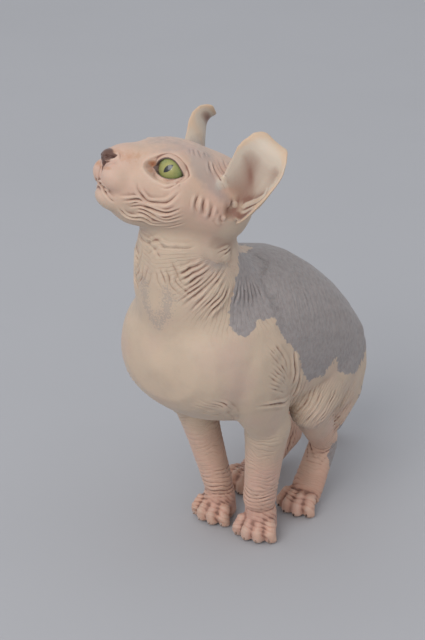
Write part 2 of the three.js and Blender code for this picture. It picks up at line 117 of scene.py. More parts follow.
# Cross wrinkles of the legs and the tail: the two ends of their line in the frame of the stance, how far the
# skin lies from the line at most, and the spacing and the depth of the wrinkles
WRINKLED = (
    ((37, -35, 112), (20, -21, 42), 25, 4.3, 0.4),
    ((20, -21, 50), (20, -22, 24), 22, 3.4, 0.8),
    ((20, -22, 26), (21, -38, 9), 20, 3.2, 0.3),
    ((-29, -38, 110), (-20, -20, 42), 23, 4.3, 0.4),
    ((-20, -20, 50), (-20, -21, 24), 20, 3.4, 0.8),
    ((-20, -21, 26), (-20, -38, 9), 20, 3.2, 0.3),
    ((34, 30, 78), (26, 54, 52), 24, 3.6, 0.95),
    ((26, 54, 52), (24, 22, 8), 20, 3.6, 0.35),
    ((-38, 44, 68), (-30, 84, 28), 24, 3.8, 0.6),
    ((-30, 86, 26), (-30, 22, 8), 20, 3.6, 0.35),
    ((0, 92, 130), (-7, 128, 48), 18, 5, 0.35),
    ((-7, 128, 48), (-42, 141, 6), 14, 4.4, 0.3),
    ((-42, 141, 6), (-140, 139, 3), 12, 4, 0.22),
)

# Folds drawn with one line each: depth and width in millimetres, how much the skin beside them rises, whether
# they are mirrored with the head or the body, and their lines in pixels of the photograph
LONE_FOLDS = (
    # Bags under the eye and the round of the cheek
    (0.6, 0.6, 0.35, "head", (
        ((153.8, 176.9), (159, 180), (165, 181.6), (172, 181.6), (177, 179.5), (181.3, 176.3)),
        ((156.3, 186.3), (161, 188.2), (166.3, 188.8), (172, 186.8), (177, 184), (182.5, 179)),
    )),
    (1.15, 0.75, 0.5, "head", (
        ((137, 179), (138.2, 187), (141, 194), (146.3, 199.5), (154, 203), (162, 203.2), (170, 200.8),
         (178, 195),
         (184, 189)),
    )),
    # Folds along the jaw
    (1.25, 0.7, 0.6, "head", (
        ((117.5, 201.3), (126, 199.4), (135, 198.8), (141, 199.8), (147.5, 202.8)),
        ((122.5, 202.5), (128.8, 206.3), (136, 206.4), (141.3, 205.4), (148, 207.6), (155, 210.3),
         (164, 211.6),
         (172.5, 211.3), (183.8, 207.5)),
        ((128.8, 208.8), (135, 208.2), (141.3, 209.3), (147, 211.2), (152.5, 214.4), (160, 218), (168, 219.2),
         (175, 218.8), (188.8, 215)),
        ((113.8, 202.5), (119, 208.5), (126.3, 214.6), (135, 218.4), (141, 218.2), (147.5, 219.6),
         (153.8, 223.8),
         (166.3, 223.8), (172.5, 221.3)),
    )),
    (0.6, 0.55, 0.5, "head", (
        ((126, 203), (133, 202.2), (140, 202.6), (146, 205.2), (152, 207)),
        ((133, 213.4), (140, 213.2), (147, 215.4), (152, 219)),
        ((158, 226.5), (168, 227.2), (178, 225.5), (186, 222)),
    )),
    # The mouth, from under the nose to its corner
    (1.7, 0.6, 0.4, "head", (
        ((96.5, 166.5), (95.6, 171), (95.2, 176), (97, 180.6), (101, 184.6), (104.4, 189), (107, 193.6),
         (110, 198.2), (114, 201.4), (118, 203.4)),
    )),
    # Upright folds between the cheek and the ear
    (0.8, 1.05, 0.9, "head", (
        ((200.4, 191.5), (197.6, 197), (196, 202), (195.2, 208), (197.5, 215)),
        ((214.2, 203), (212.2, 208), (210.9, 213), (210, 220)),
        ((223, 212.6), (221.2, 217), (221.2, 220.5), (224.2, 223)),
        ((206.5, 196.5), (204.3, 203), (203.3, 209), (203.6, 216)),
    )),
    # Ridges of the crown and folds before the ear
    (0.35, 0.65, 0.8, "head", (
        ((189.4, 149), (190, 152), (190.2, 156)),
        ((193.8, 149), (194, 152.5), (195, 157.5)),
        ((198.8, 150), (199.6, 154.5), (201.3, 160)),
        ((204.4, 151.6), (205.4, 155), (207.5, 158.5)),
    )),
    (0.5, 0.7, 0.8, "head", (
        ((212.5, 159), (214, 165), (216.3, 171), (219, 177), (221.6, 183), (225, 189), (228, 194)),
        ((217.5, 157.8), (219, 162.5), (221.6, 168), (224, 173), (227, 178)),
        ((222.5, 157.8), (223.4, 162), (225.4, 166.6), (229, 172)),
        ((208.6, 160), (209.8, 165), (211.6, 170), (214, 175)),
    )),
    # The pocket at the foot of the ear
    (0.9, 1.0, 0.6, "head", (
        ((232.8, 199), (231.6, 203), (231.2, 207.5)),
        ((238.6, 201.4), (239.2, 206), (242, 210), (247.5, 208.6), (253, 205.4), (259, 201.8), (264, 197),
         (267.5, 190.5), (269.5, 184)),
    )),
    # The neck from the throat
    (0.4, 0.9, 0.6, "body", (
        ((143.3, 241.7), (142.4, 249), (141, 257), (138.4, 266), (134.5, 275)),
        ((147, 241), (153, 247), (159, 254), (165, 261.7)),
        ((152, 238), (160, 244), (166, 251)),
        ((157, 246.5), (170, 249), (186, 248.5), (200, 246)),
    )),
    # The leg's upper edge and the elbow
    (1.0, 0.9, 0.6, "body", (
        ((253.3, 406.7), (262, 407.2), (272, 406.4), (282, 403.2), (288, 400), (291.7, 396.5)),
        ((291.6, 345), (293.6, 352), (295.6, 360), (296.4, 369), (294.4, 378), (291, 386), (288, 391)),
        ((299.6, 370), (299.4, 378), (297.6, 386), (294.4, 394), (289, 401)),
    )),
)

# Folds in families: the first and the last line of each in pixels, how many there are, and as above
FOLD_FAMILIES = (
    # The neck from the nape down to the chest
    (((213.3, 256.7), (206, 260), (198, 264), (190, 268), (182, 272.5), (174, 279)),
     ((226.7, 262), (219, 273), (209, 283), (198, 293), (187, 302), (176, 312)), 6, 0.95, 0.85, 0.8, "body"),
    (((229, 264), (222, 275), (213, 286), (203, 297), (193, 309), (183, 321)),
     ((233, 272), (229, 285), (223, 298), (215, 309), (206, 319), (198, 326)), 5, 0.8, 0.85, 0.8, "body"),
    # Wrinkles of the nape
    (((213, 256), (218, 252), (224, 249), (230, 247)),
     ((222, 265), (226, 261), (229, 257.5), (232, 254)), 8, 0.4, 0.55, 0.7, "body"),
    # Fine lines of the throat
    (((136.5, 250), (136, 258), (134.5, 268), (131.5, 278)),
     ((153, 262), (152, 272), (149, 282), (144, 292)), 5, 0.35, 0.9, 0.7, "body"),
    # The shoulder's fan down to the elbow
    (((266.7, 328.3), (272, 336), (277.6, 344.4), (283, 353.4), (287.4, 364), (289.6, 374)),
     ((262, 342), (269, 352), (276, 361.6), (282, 370.6), (286.4, 380)), 5, 0.42, 0.8, 0.8, "body"),
    (((268, 357), (275, 361), (281.6, 367), (287, 373.6), (289.4, 381)),
     ((264.7, 386.7), (272, 388.4), (279, 391), (286, 394.6)), 7, 0.38, 0.7, 0.8, "body"),
    # The armpit
    (((184, 396.7), (196, 400.6), (209, 404.6), (221, 409), (232, 414.6), (241, 424)),
     ((200, 397), (211, 399.6), (221, 403), (231, 408.6), (240, 416)), 5, 0.65, 0.8, 0.7, "body"),
    (((190, 408), (201, 411.6), (213, 413.6), (225, 415.6)),
     ((184, 401), (197, 405.6), (211, 409.4), (226, 412.6)), 4, 0.45, 0.8, 0.7, "body"),
    # The flank and the thigh
    (((306.5, 366), (304.6, 376), (301, 386), (296.4, 395), (290, 404), (284, 412)),
     ((327, 384), (324.6, 394), (319.4, 404.6), (312.4, 414), (304.4, 423), (296, 430)),
     8, 0.5, 0.8, 0.8, "body"),
    (((334, 382), (331.6, 393), (326.4, 404), (319.6, 414), (312.6, 422), (306, 429)),
     ((361, 373), (358.6, 386), (353, 399), (345.4, 411), (336, 422), (326, 431)), 9, 0.5, 0.8, 0.8, "body"),
    # The front of the saddle
    (((241.7, 271.7), (240, 280), (237.6, 290), (235.4, 300), (233.3, 312)),
     ((250, 271.7), (253.4, 280), (257.4, 289), (261.6, 299), (268, 312)), 7, 0.55, 0.8, 0.8, "body"),
    # Long shallow lines of the flank
    (((270, 252), (279, 262), (286.7, 278), (292, 294), (295.6, 312), (298, 330), (299, 350)),
     ((330, 272), (341, 292), (349, 314), (353, 334), (354.6, 352), (354, 368)), 12, 0.22, 1.0, 0.8, "body"),
)

# Grey patches as outlines in pixels, whether they lie on the head, and whether on both sides
GREY_PATCHES = (
    (False, True, (
        (234, 250), (239, 271), (234, 292), (229, 314), (229.6, 326), (234, 330), (238.6, 335), (246, 336.6),
        (253, 334), (255.4, 328), (254.6, 320), (260, 317.6), (265, 320), (272, 315), (276.4, 323),
        (281.6, 331),
        (286.6, 341), (293, 350.6), (299, 352.4), (300.6, 363), (303.6, 377), (309.6, 381), (314, 377.6),
        (320.6, 378.4), (327, 371.4), (333, 362), (335.4, 355), (339.4, 371), (345, 375.6), (352.4, 372.4),
        (358.6, 370), (364, 356), (368, 345), (366, 330), (380, 300), (380, 236), (290, 236), (262, 240.6),
        (252, 247.4), (246.6, 252.6), (240, 252),
    )),
    (False, True, (
        (364, 381), (361, 392), (355.4, 404), (347, 416), (338, 430), (346, 436), (366, 424), (376, 380),
    )),
    (False, False, ((338.6, 440), (331, 446), (327, 454), (329.6, 465), (336, 470), (346, 452), (348, 436))),
    (True, True, ((152, 152.4), (157, 147.6), (166, 146), (176, 146.4), (184, 148.6), (178, 150.2),
                  (168, 151),
                  (159, 153))),
    (True, True, ((144, 138.6), (160, 136), (176, 139.6), (190, 145), (206, 149), (212, 154), (213, 166),
                  (218, 180), (226, 193), (234, 203), (224, 204), (213, 197.6), (203, 189), (196, 178),
                  (190.6, 166),
                  (188, 155), (180, 148.4), (164, 143.4), (150, 143.4))),
)
SPECKLED_PATCH = (
    (160, 283), (170, 282), (178, 296), (176, 312), (166, 330), (150, 337), (138, 332), (150, 322),
    (158, 306),
)
NAPE_PATCH = ((209, 262), (218, 249), (230, 243), (236, 250), (233, 259), (222, 266), (214, 268))
# Orange stains: their middle and half sizes in pixels, and how strong they are
STAINS = (
    (112, 152, 12, 4.4, 0.5), (128, 156, 15, 6, 0.42), (106, 168.4, 7, 2.6, 0.75),
    (152.4, 163.6, 5.2, 3.6, 1.7),
    (151, 170.6, 3.2, 3.6, 0.8),
)
FAR_EAR_PATCH = (
    (188, 146), (193, 139), (198, 136.6), (204, 139), (209, 143), (214, 154), (204, 160), (188, 155),
)


def linear(hex_colour):
    """The linear colour, with alpha, of an sRGB hex value"""
    shares = [int(hex_colour[i:i + 2], 16) / 255 for i in (1, 3, 5)]
    return (*[c / 12.92 if c <= 0.04045 else ((c + 0.055) / 1.055) ** 2.4 for c in shares], 1.0)


def head_matrix():
    """From the head's own frame to the frame of the stance, both in millimetres"""
    turn = Matrix.Rotation(math.radians(HEAD_YAW), 4, "Z")
    lift = Matrix.Rotation(math.radians(-HEAD_LIFT), 4, "X")
    roll = Matrix.Rotation(math.radians(HEAD_ROLL), 4, "Y")
    return Matrix.Translation(HEAD_CENTRE) @ turn @ lift @ roll @ Matrix.Scale(HEAD_SCALE, 4)


HEAD = head_matrix()


def stance_shift():
    """How far the solids were shifted from the stance's own frame, found from where the left eye lies"""
    low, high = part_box("eye_left")
    return (low + high) / 2 / MM - HEAD @ Vector(EYE_CENTRE)


SHIFT = stance_shift()


def eye_axes():
    """Inwards, up and along the aim of the left eye, one a row, in the head's frame"""
    aim = Vector(EYE_AIM).normalized()
    inward = Vector((aim.y, -aim.x, 0)).normalized()
    return np.array([inward, inward.cross(aim), aim])


def way_to(azimuth, elevation):
    """The direction from the cat to a viewer or a light, from its angles in degrees"""
    azimuth, elevation = math.radians(azimuth), math.radians(elevation)
    level = math.cos(elevation)
    return Vector((math.sin(azimuth) * level, -math.cos(azimuth) * level, math.sin(elevation)))


def camera_basis():
    """Right, up and towards the camera, in the frame of the stance"""
    back = way_to(CAMERA_AZIMUTH, CAMERA_ELEVATION)
    right = Vector((math.cos(math.radians(CAMERA_AZIMUTH)), math.sin(math.radians(CAMERA_AZIMUTH)), 0))
    return right, back.cross(right), back


def pixels_of(points):
    """Where the photograph's camera sees points of the stance"""
    right, up, back = (np.array(way) for way in camera_basis())
    away = points - np.array(CAMERA_TARGET)
    scale = PIXELS_PER_MM * CAMERA_DISTANCE / (CAMERA_DISTANCE - away @ back)
    return np.column_stack([IMAGE[0] / 2 + away @ right * scale, IMAGE[1] / 2 - away @ up * scale])


# Small helpers of the mesh work


def moved(points, matrix):
    """Points, one a row, through a 4 by 4 matrix"""
    m = np.array([list(row) for row in matrix])
    return points @ m[:3, :3].T + m[:3, 3]


def bell(distance, reach):
    """1 at no distance, falling smoothly to nothing at about twice the reach"""
    return np.exp(-(distance / reach) ** 2)


def step(value, none, full):
    """0 at the first bound and beyond it, 1 at the second and beyond it, and smooth between"""
    t = np.clip((value - none) / (full - none), 0, 1)
    return t * t * (3 - 2 * t)


def to_left(points):
    """Points, one a row, with those of the right half laid onto the left"""
    return np.column_stack([np.abs(points[:, 0]), points[:, 1:]])


def ripple(points, size, seed):
    """Smooth chance ups and downs, mostly between -1 and 1, of about the given size in millimetres"""
    chance = np.random.default_rng(seed)
    waves = 9
    total = np.zeros(len(points))
    for _ in range(waves):
        way = chance.normal(size=3)
        way *= 2 * math.pi / (size * chance.uniform(1.3, 3) * np.linalg.norm(way))
        total += np.sin(points @ way + chance.uniform(0, 2 * math.pi))
    return total / waves * 2


def cut_corners(path, rounds=2):
    """A path with its corners rounded off and its ends kept"""
    path = np.asarray(path, dtype=float)
    for _ in range(rounds):
        near = path[:-1] * 0.75 + path[1:] * 0.25
        far = path[:-1] * 0.25 + path[1:] * 0.75
        middle = np.stack([near, far], axis=1).reshape(-1, path.shape[1])
        path = np.vstack([path[:1], middle, path[-1:]])
    return path


def evenly(path, count):
    """A path redrawn with evenly spaced points"""
    path = np.asarray(path, dtype=float)
    along = np.concatenate([[0], np.cumsum(np.linalg.norm(np.diff(path, axis=0), axis=1))])
    places = np.linspace(0, along[-1], count)
    return np.column_stack([np.interp(places, along, axis) for axis in path.T])


def along_path(points, path):
    """How far each point is from a path, and how far along it the nearest place lies, from 0 to 1"""
    ways = np.diff(path, axis=0)
    lengths = np.maximum(np.linalg.norm(ways, axis=1), 1e-9)
    before = np.concatenate([[0], np.cumsum(lengths)])
    distance = np.full(len(points), np.inf)
    share = np.zeros(len(points))
    for start, way, length, gone in zip(path, ways, lengths, before):
        t = np.clip((points - start) @ (way / length), 0, length)
        apart = np.linalg.norm(points - start - t[:, None] * (way / length), axis=1)
        closer = apart < distance
        distance[closer] = apart[closer]
        share[closer] = (gone + t[closer]) / before[-1]
    return distance, share


def inside_by(points, outline):
    """How far flat points lie inside a closed outline, below zero outside it"""
    outline = np.asarray(outline, dtype=float)
    closed = np.vstack([outline, outline[:1]])
    distance = along_path(points, closed)[0]
    crossings = np.zeros(len(points), dtype=bool)
    for (x0, y0), (x1, y1) in zip(closed[:-1], closed[1:]):
        if y0 == y1:
            continue
        spans = (points[:, 1] < y0) != (points[:, 1] < y1)
        crossings ^= spans & (points[:, 0] < x0 + (points[:, 1] - y0) / (y1 - y0) * (x1 - x0))
    return np.where(crossings, distance, -distance)


def get_points(mesh):
    """The places of a mesh's vertices, one a row"""
    points = np.empty(len(mesh.vertices) * 3)
    mesh.vertices.foreach_get("co", points)
    return points.reshape(-1, 3)


def get_edges(mesh):
    """The two vertices of each edge of a mesh, one edge a row"""
    edges = np.empty(len(mesh.edges) * 2, dtype=np.int64)
    mesh.edges.foreach_get("vertices", edges)
    return edges.reshape(-1, 2)


def relaxed(values, edges, strength, rounds):
    """Values, one row a point, each drawn towards its neighbours' mean for some rounds. Only the points that
    have some strength move"""
    moving = strength > 0
    places, pairs = np.unique(edges[moving[edges].any(axis=1)], return_inverse=True)
    first, second = pairs.reshape(-1, 2).T
    count = np.maximum(np.bincount(pairs.ravel(), minlength=len(places)), 1)
    part, share = values[places], strength[places, None]
    for _ in range(rounds):
        mean = np.empty_like(part)
        for axis in range(part.shape[1]):
            mean[:, axis] = np.bincount(first, part[second, axis], len(part))
            mean[:, axis] += np.bincount(second, part[first, axis], len(part))
        part = part + (mean / count[:, None] - part) * share
    made = values.copy()
    made[places] = part
    return made


def evened(points, edges, strength, rounds):
    """The surface smoothed, with the broad form that this took away given back"""
    smooth = relaxed(points, edges, strength, rounds)
    return smooth + relaxed(points - smooth, edges, strength, rounds)


def mesh_object(name, bm):
    """A new object at the origin from a bmesh, which is freed"""
    mesh = bpy.data.meshes.new(name)
    bm.to_mesh(mesh)
    bm.free()
    piece = bpy.data.objects.new(name, mesh)
    bpy.context.scene.collection.objects.link(piece)
    return piece


def with_modifier(piece, kind, **settings):
    """Applies one modifier to a piece"""
    modifier = piece.modifiers.new(kind.title(), kind)
    for key, value in settings.items():
        setattr(modifier, key, value)
    depsgraph = bpy.context.evaluated_depsgraph_get()
    made = bpy.data.meshes.new_from_object(piece.evaluated_get(depsgraph))
    piece.modifiers.clear()
    old = piece.data
    piece.data = made
    bpy.data.meshes.remove(old)


def smooth_shading(piece):
    """Shades a piece smoothly"""
    piece.data.polygons.foreach_set("use_smooth", [True] * len(piece.data.polygons))


def tree_of(*meshes):
    """A tree in which the nearest place of some meshes is found"""
    bm = bmesh.new()
    for mesh in meshes:
        bm.from_mesh(mesh)
    tree = BVHTree.FromBMesh(bm)
    bm.free()
    return tree


def keep_values(mesh, name, values):
    """Keeps one number for each point of a mesh, for its material to read"""
    mesh.attributes.new(name, "FLOAT", "POINT").data.foreach_set("value", values)


# The skin's raw surface


def node_copy(bm, name, grow):
    """Adds a merged copy of a solid to a bmesh, swollen by some millimetres"""
    part = bmesh.new()
    part.from_mesh(NODES[name].data)
    bmesh.ops.remove_doubles(part, verts=part.verts, dist=5e-6)
    part.normal_update()
    for vertex in part.verts:
        vertex.co += vertex.normal * grow * MM
    between = bpy.data.meshes.new("between")
    part.to_mesh(between)
    part.free()
    bm.from_mesh(between)
    bpy.data.meshes.remove(between)


def largest_piece(bm):
    """Deletes every loose part of a bmesh but the one with the most vertices"""
    unseen = set(bm.verts)
    parts = []
    while unseen:
        start = unseen.pop()
        part = [start]
        for vertex in part:
            for edge in vertex.link_edges:
                other = edge.other_vert(vertex)
                if other in unseen:
                    unseen.remove(other)
                    part.append(other)
        parts.append(part)
    parts.sort(key=len)
    for part in parts[:-1]:
        bmesh.ops.delete(bm, geom=part, context="VERTS")


# How far the flesh and the eyes swell before they are joined, in millimetres: enough to close the gaps
# between the solids, and for the thin ears to come through whole
FLESH_SWELL = 0.45
EYE_SWELL = 0.6


def raw_skin(grain):
    """Every flesh solid as one closed surface, still without its finer forms"""
    bm = bmesh.new()
    for name in FLESH:
        node_copy(bm, name, FLESH_SWELL)
    for side in SIDES:
        node_copy(bm, f"eye_{side}", EYE_SWELL)
    piece = mesh_object("skin", bm)
    with_modifier(piece, "REMESH", mode="VOXEL", voxel_size=grain, adaptivity=0)
    bm = bmesh.new()
    bm.from_mesh(piece.data)
    largest_piece(bm)
    bm.to_mesh(piece.data)
    bm.free()
    return piece


# Where the parts of the cat begin and are full, in millimetres. In the head's frame: the head upwards and
# forwards, and the face forwards. Then the skin of the ears, by how far it is from their solids and how far
# out from their roots
HEAD_FROM_BELOW = (-34, -24)
HEAD_FROM_BEHIND = (50, 42)
FACE_FROM_BEHIND = (20, 12)
EAR_AROUND = (2.6, 1.4)
EAR_OUTWARDS = (1, 8)
# The share of the head from which a point counts as lying on it
ON_HEAD = 0.5


class Clay:
    """The skin while its forms are drawn, in millimetres in the frame of the stance"""

    def __init__(self, piece):
        self.piece = piece
        self.ear_tree = tree_of(*(NODES[f"ear_{side}"].data for side in SIDES))
        self.read()

    def read(self):
        """Reads the edges and points after the mesh has changed"""
        mesh = self.piece.data
        self.edges = get_edges(mesh)
        self.points = get_points(mesh) / MM - np.array(SHIFT)
        self.look()

    def look(self):
        """Finds the normals and the places in the head's frame"""
        normals = np.empty(len(self.points) * 3)
        self.piece.data.vertices.foreach_get("normal", normals)
        self.normals = normals.reshape(-1, 3)
        self.local = moved(self.points, HEAD.inverted())

    def put(self, points):
        """Moves the points to new places"""
        self.points = points
        self.piece.data.vertices.foreach_set("co", ((points + np.array(SHIFT)) * MM).ravel())
        self.piece.data.update()
        self.look()

    def press(self, rise):
        """Moves the surface out by some millimetres"""
        self.put(self.points + self.normals * rise[:, None])

    def refine(self, chosen):
        """Divides the faces between chosen points in four"""
        bm = bmesh.new()
        bm.from_mesh(self.piece.data)
        bm.verts.ensure_lookup_table()
        edges = [edge for edge in bm.edges if chosen[edge.verts[0].index] and chosen[edge.verts[1].index]]
        bmesh.ops.subdivide_edges(bm, edges=edges, cuts=1, use_grid_fill=True)
        bm.to_mesh(self.piece.data)
        bm.free()
        self.read()

    # Where the parts of the cat are, as shares from 0 to 1

    def head(self):
        """The head down to the throat"""
        return step(self.local[:, 2], *HEAD_FROM_BELOW) * step(self.local[:, 1], *HEAD_FROM_BEHIND)

    def face(self):
        """The head before the ears"""
        return self.head() * step(self.local[:, 1], *FACE_FROM_BEHIND) * (1 - self.ears())

    def ears(self):
        """The skin close to the ears' solids, from a little above their roots on"""
        rise = (to_left(self.local) - np.array(EAR_ROOT)) @ np.array(EAR_AXIS)
        near = np.flatnonzero(rise > EAR_OUTWARDS[0])
        places = (self.points[near] + np.array(SHIFT)) * MM
        apart = np.array([self.ear_tree.find_nearest(place)[3] for place in places]) / MM
        share = np.zeros(len(self.points))
        share[near] = step(apart, *EAR_AROUND) * step(rise[near], *EAR_OUTWARDS)
        return share

    def low(self, low, high):
        """1 below the lower height, 0 above the higher"""
        return step(self.points[:, 2], high, low)


# The head


# Places of the left half in the head's frame that are filled, how far around and how much, in millimetres
MUZZLE_FILL = (
    ((13, -40, -3), 8, 2.4), ((6.5, -51, 6), 6, 1.8), ((8, -42, -14), 7, 1.8), ((0, -50, -6), 4, 0.8),
    ((29, -33, 22), 9, 1.2), ((21, -14, 27), 9, 1.0), ((30, -19, 0), 10, 1.2), ((17, -36, 4), 7, 0.9),
)


def fill(clay, places):
    """Swells the head's surface round places and their mirrored places"""
    rise = np.zeros(len(clay.points))
    for place, reach, height in places:
        for side in SIDES.values():
            if place[0] or side > 0:
                apart = np.linalg.norm(clay.local - np.array(place) * [side, 1, 1], axis=1)
                rise += height * bell(apart, reach)
    clay.press(rise)


# Places of the left half in the head's frame that are drawn aside: how far around, and which way. They are
# the outer edge of the ear, the crown and the temple before the ear
HEAD_PULLS = (
    ((68, 20, 38), 12, (1.6, 3.6, 1.6)), ((12, 3, 36), 15, (0, 0, -2.5)), ((32, -5, 27), 8, (1.3, -0.5, 1.4)),
)


def pull(clay, places):
    """Moves the head's skin near places of the left half, and near their mirrored places"""
    way = np.zeros_like(clay.local)
    for place, reach, there in places:
        for side in SIDES.values():
            apart = np.linalg.norm(clay.local * [side, 1, 1] - np.array(place), axis=1)
            way += bell(apart, reach)[:, None] * np.array(there) * [side, 1, 1]
    clay.put(moved(clay.local + way, HEAD))


# The joints of the neck: the solid beyond it, how far from both solids the smoothing begins and is full, in
# millimetres, and its share of the strength of the smoothing. All of it lies above and before the two bounds
NECK_JOINTS = (("torso", (16, 5), 1), ("head", (9, 2), 0.8))
NECK_SMOOTHING = 0.95
NECK_ABOVE = 170
NECK_BEFORE = -20
NECK_ROUNDS = 130


def soften_joints(clay):
    """Rounds the hollows where the neck meets the trunk and the head"""
    near = np.flatnonzero((clay.points[:, 2] > NECK_ABOVE) & (clay.points[:, 1] < NECK_BEFORE))
    places = (clay.points[near] + np.array(SHIFT)) * MM
    apart = {}
    for name in ("neck", *(joint[0] for joint in NECK_JOINTS)):
        tree = tree_of(NODES[name].data)
        apart[name] = np.array([tree.find_nearest(place)[3] for place in places]) / MM
    strength = np.zeros(len(clay.points))
    for other, around, most in NECK_JOINTS:
        both = np.maximum(apart["neck"], apart[other])
        strength[near] = np.maximum(strength[near], most * step(both, *around))
    clay.put(relaxed(clay.points, clay.edges, NECK_SMOOTHING * strength, NECK_ROUNDS))


def eye_view(clay, side):
    """Every point as the eye of one side sees it: inwards, up and along its aim"""
    return (clay.local * [side, 1, 1] - np.array(EYE_CENTRE)) @ eye_axes().T


def eye_opening(clay, side):
    """Which points are near the eye, their view, and how far inside its opening each lies"""
    view = eye_view(clay, side)
    near = np.flatnonzero((view[:, 2] > 0) & (np.hypot(view[:, 0], view[:, 1]) < EYE_AROUND))
    outline = cut_corners(EYE_OPENING + EYE_OPENING[:1])
    return near, view[near], inside_by(view[near, :2], outline)


def ball_depth(view, radius):
    """How far forward a ball round the eye's centre reaches, and no less than the floor beside it"""
    return np.sqrt(np.maximum(radius ** 2 - view[:, 0] ** 2 - view[:, 1] ** 2, BALL_FLOOR_SQUARE))


# How thick the lids lie on the eyeball and how far the skin sinks behind it, in millimetres
LID_HEIGHT = 1.15
SOCKET_DEPTH = 1.2
# Where the upper lid begins, upwards from the eye's middle. Then by how far inside the opening a point lies:
# where the skin begins to close on the ball and does so fully, and where the opening begins and is full
UPPER_LID = (-2, 1.5)
LID_CLOSES = (-4.2, -0.4)
LID_OPENS = (-0.1, 0.45)
# The rim of the lids, the crease round it and the round beyond: how far outside the opening each lies and how
# much further at the upper lid, how wide it is, and its height and how much more it is at the upper lid
LID_FORMS = ((1.3, 0, 1.0, 0.55, 0.3), (3.1, 0.4, 0.7, -0.35, -0.4), (5.4, 0, 1.3, 0, 0.2))


def shape_lids(clay):
    """Opens the lids over the eyeballs, with a rim and a crease round it"""
    points = clay.points.copy()
    for side in SIDES.values():
        near, view, inside = eye_opening(clay, side)
        above = step(view[:, 1], *UPPER_LID)
        close = step(inside, *LID_CLOSES)
        depth = view[:, 2] * (1 - close) + ball_depth(view, EYE_RADIUS + LID_HEIGHT) * close
        for away, further, width, height, more in LID_FORMS:
            depth += (height + more * above) * bell(inside + away + further * above, width)
        opened = step(inside, *LID_OPENS)
        view[:, 2] = depth * (1 - opened) + ball_depth(view, EYE_RADIUS - SOCKET_DEPTH) * opened
        local = (view @ eye_axes() + np.array(EYE_CENTRE)) * [side, 1, 1]
        points[near] = moved(local, HEAD)
    clay.put(points)


# Grooves of the nose in the head's frame: their line, depth and width in millimetres, how much the skin
# beside them rises, and the share of their length in which each end runs out. The first two are repeated on
# the right: the slit of the nostril and the lower edge of the leather. The last goes down from the nose to
# the lip
NOSE_GROOVES = (
    (((2.8, -63, 3.6), (4.4, -62.6, 5.6), (6.2, -60.4, 6.6), (7.8, -57.6, 7.4), (8.6, -55, 9)),
     1.9, 0.7, 0.4, 0.05),
    (((0.8, -59, -1.5), (2.4, -60, 2.2), (5, -59, 3.6), (7.6, -56.4, 5.2), (9.6, -53.6, 8)),
     0.7, 0.7, 0.6, 0.1),
)
LIP_GROOVE = (
    ((0, -63, 5), (0, -61.5, 1), (0, -59.5, -2), (0, -58.5, -6), (0, -57.5, -10)), 0.9, 0.6, 0.4, 0.1,
)
# The left nostril: its middle, depth and width
NOSTRIL = (4.4, -62.2, 5.8)
NOSTRIL_DEPTH = 2.4
NOSTRIL_WIDTH = 1.6


def shape_nose(clay):
    """The nostrils, the edge of the nose leather and the groove under it"""
    rise = np.zeros(len(clay.points))
    for side in SIDES.values():
        local = clay.local * [side, 1, 1]
        for path, *form in NOSE_GROOVES:
            crease(local, rise, cut_corners(path), *form)
        rise -= NOSTRIL_DEPTH * bell(np.linalg.norm(local - np.array(NOSTRIL), axis=1), NOSTRIL_WIDTH)
    path, *form = LIP_GROOVE
    crease(clay.local, rise, cut_corners(path), *form)
    clay.press(rise)


# Folds


# The form of a groove, in shares of its width: how far it reaches at most, and how far out the skin beside it
# rises and how wide. Then how steep its walls are
GROOVE_REACH = 5
RISE_AWAY = 2.5
RISE_WIDTH = 1.5
WALLS = 1.4
# The share of a fold's length in which each end runs out
FOLD_ENDS = 0.38


def crease(points, rise, path, depth, width, puff, ends=FOLD_ENDS, order=None):
    """Presses a groove along a path, with the skin risen on both sides of it and both ends running out.
    The order of the points by height, where it is given, only makes it quicker"""
    reach = GROOVE_REACH * width
    low, high = path.min(0) - reach, path.max(0) + reach
    if order is None:
        near = np.arange(len(points))
    else:
        near = order[slice(*np.searchsorted(points[:, 2], (low[2], high[2]), sorter=order))]
    near = near[np.all((points[near] > low) & (points[near] < high), axis=1)]
    distance, share = along_path(points[near], path)
    fade = step(share, 0, ends) * step(1 - share, 0, ends)
    beside = puff * bell(distance - RISE_AWAY * width, RISE_WIDTH * width)
    rise[near] += depth * fade * (beside - np.exp(-(distance / width) ** WALLS))


def on_skin(tree, pixels):
    """Where the sight lines through pixels of the photograph meet the skin"""
    right, up, back = camera_basis()
    start = (Vector(CAMERA_TARGET) + back * CAMERA_DISTANCE + SHIFT) * MM
    found = []
    for x, y in pixels:
        sight = right * (x - IMAGE[0] / 2) - up * (y - IMAGE[1] / 2) - back * PIXELS_PER_MM * CAMERA_DISTANCE
        place = tree.ray_cast(start, sight.normalized())[0]
        if place is not None:
            found.append(place / MM - SHIFT)
    return np.array(found)


def on_other_side(tree, path, part):
    """The mirrored path, in the head's frame or the body's, laid onto the skin there"""
    if part == "head":
        other = moved(moved(path, HEAD.inverted()) * [-1, 1, 1], HEAD)
    else:
        other = path * [-1, 1, 1]
    return np.array([tree.find_nearest((Vector(place) + SHIFT) * MM)[0] / MM - SHIFT for place in other])


# The folds of a family: how many points their lines have, how many more of them while their ends are cut, the
# most that is cut off an end, how far they stray as a share of their spacing, and the range of their depth
FAMILY_POINTS = 8
FAMILY_FINE = 60
FAMILY_CUT = 0.16
FAMILY_STRAY = 0.14
FAMILY_DEPTH = (0.65, 1.2)


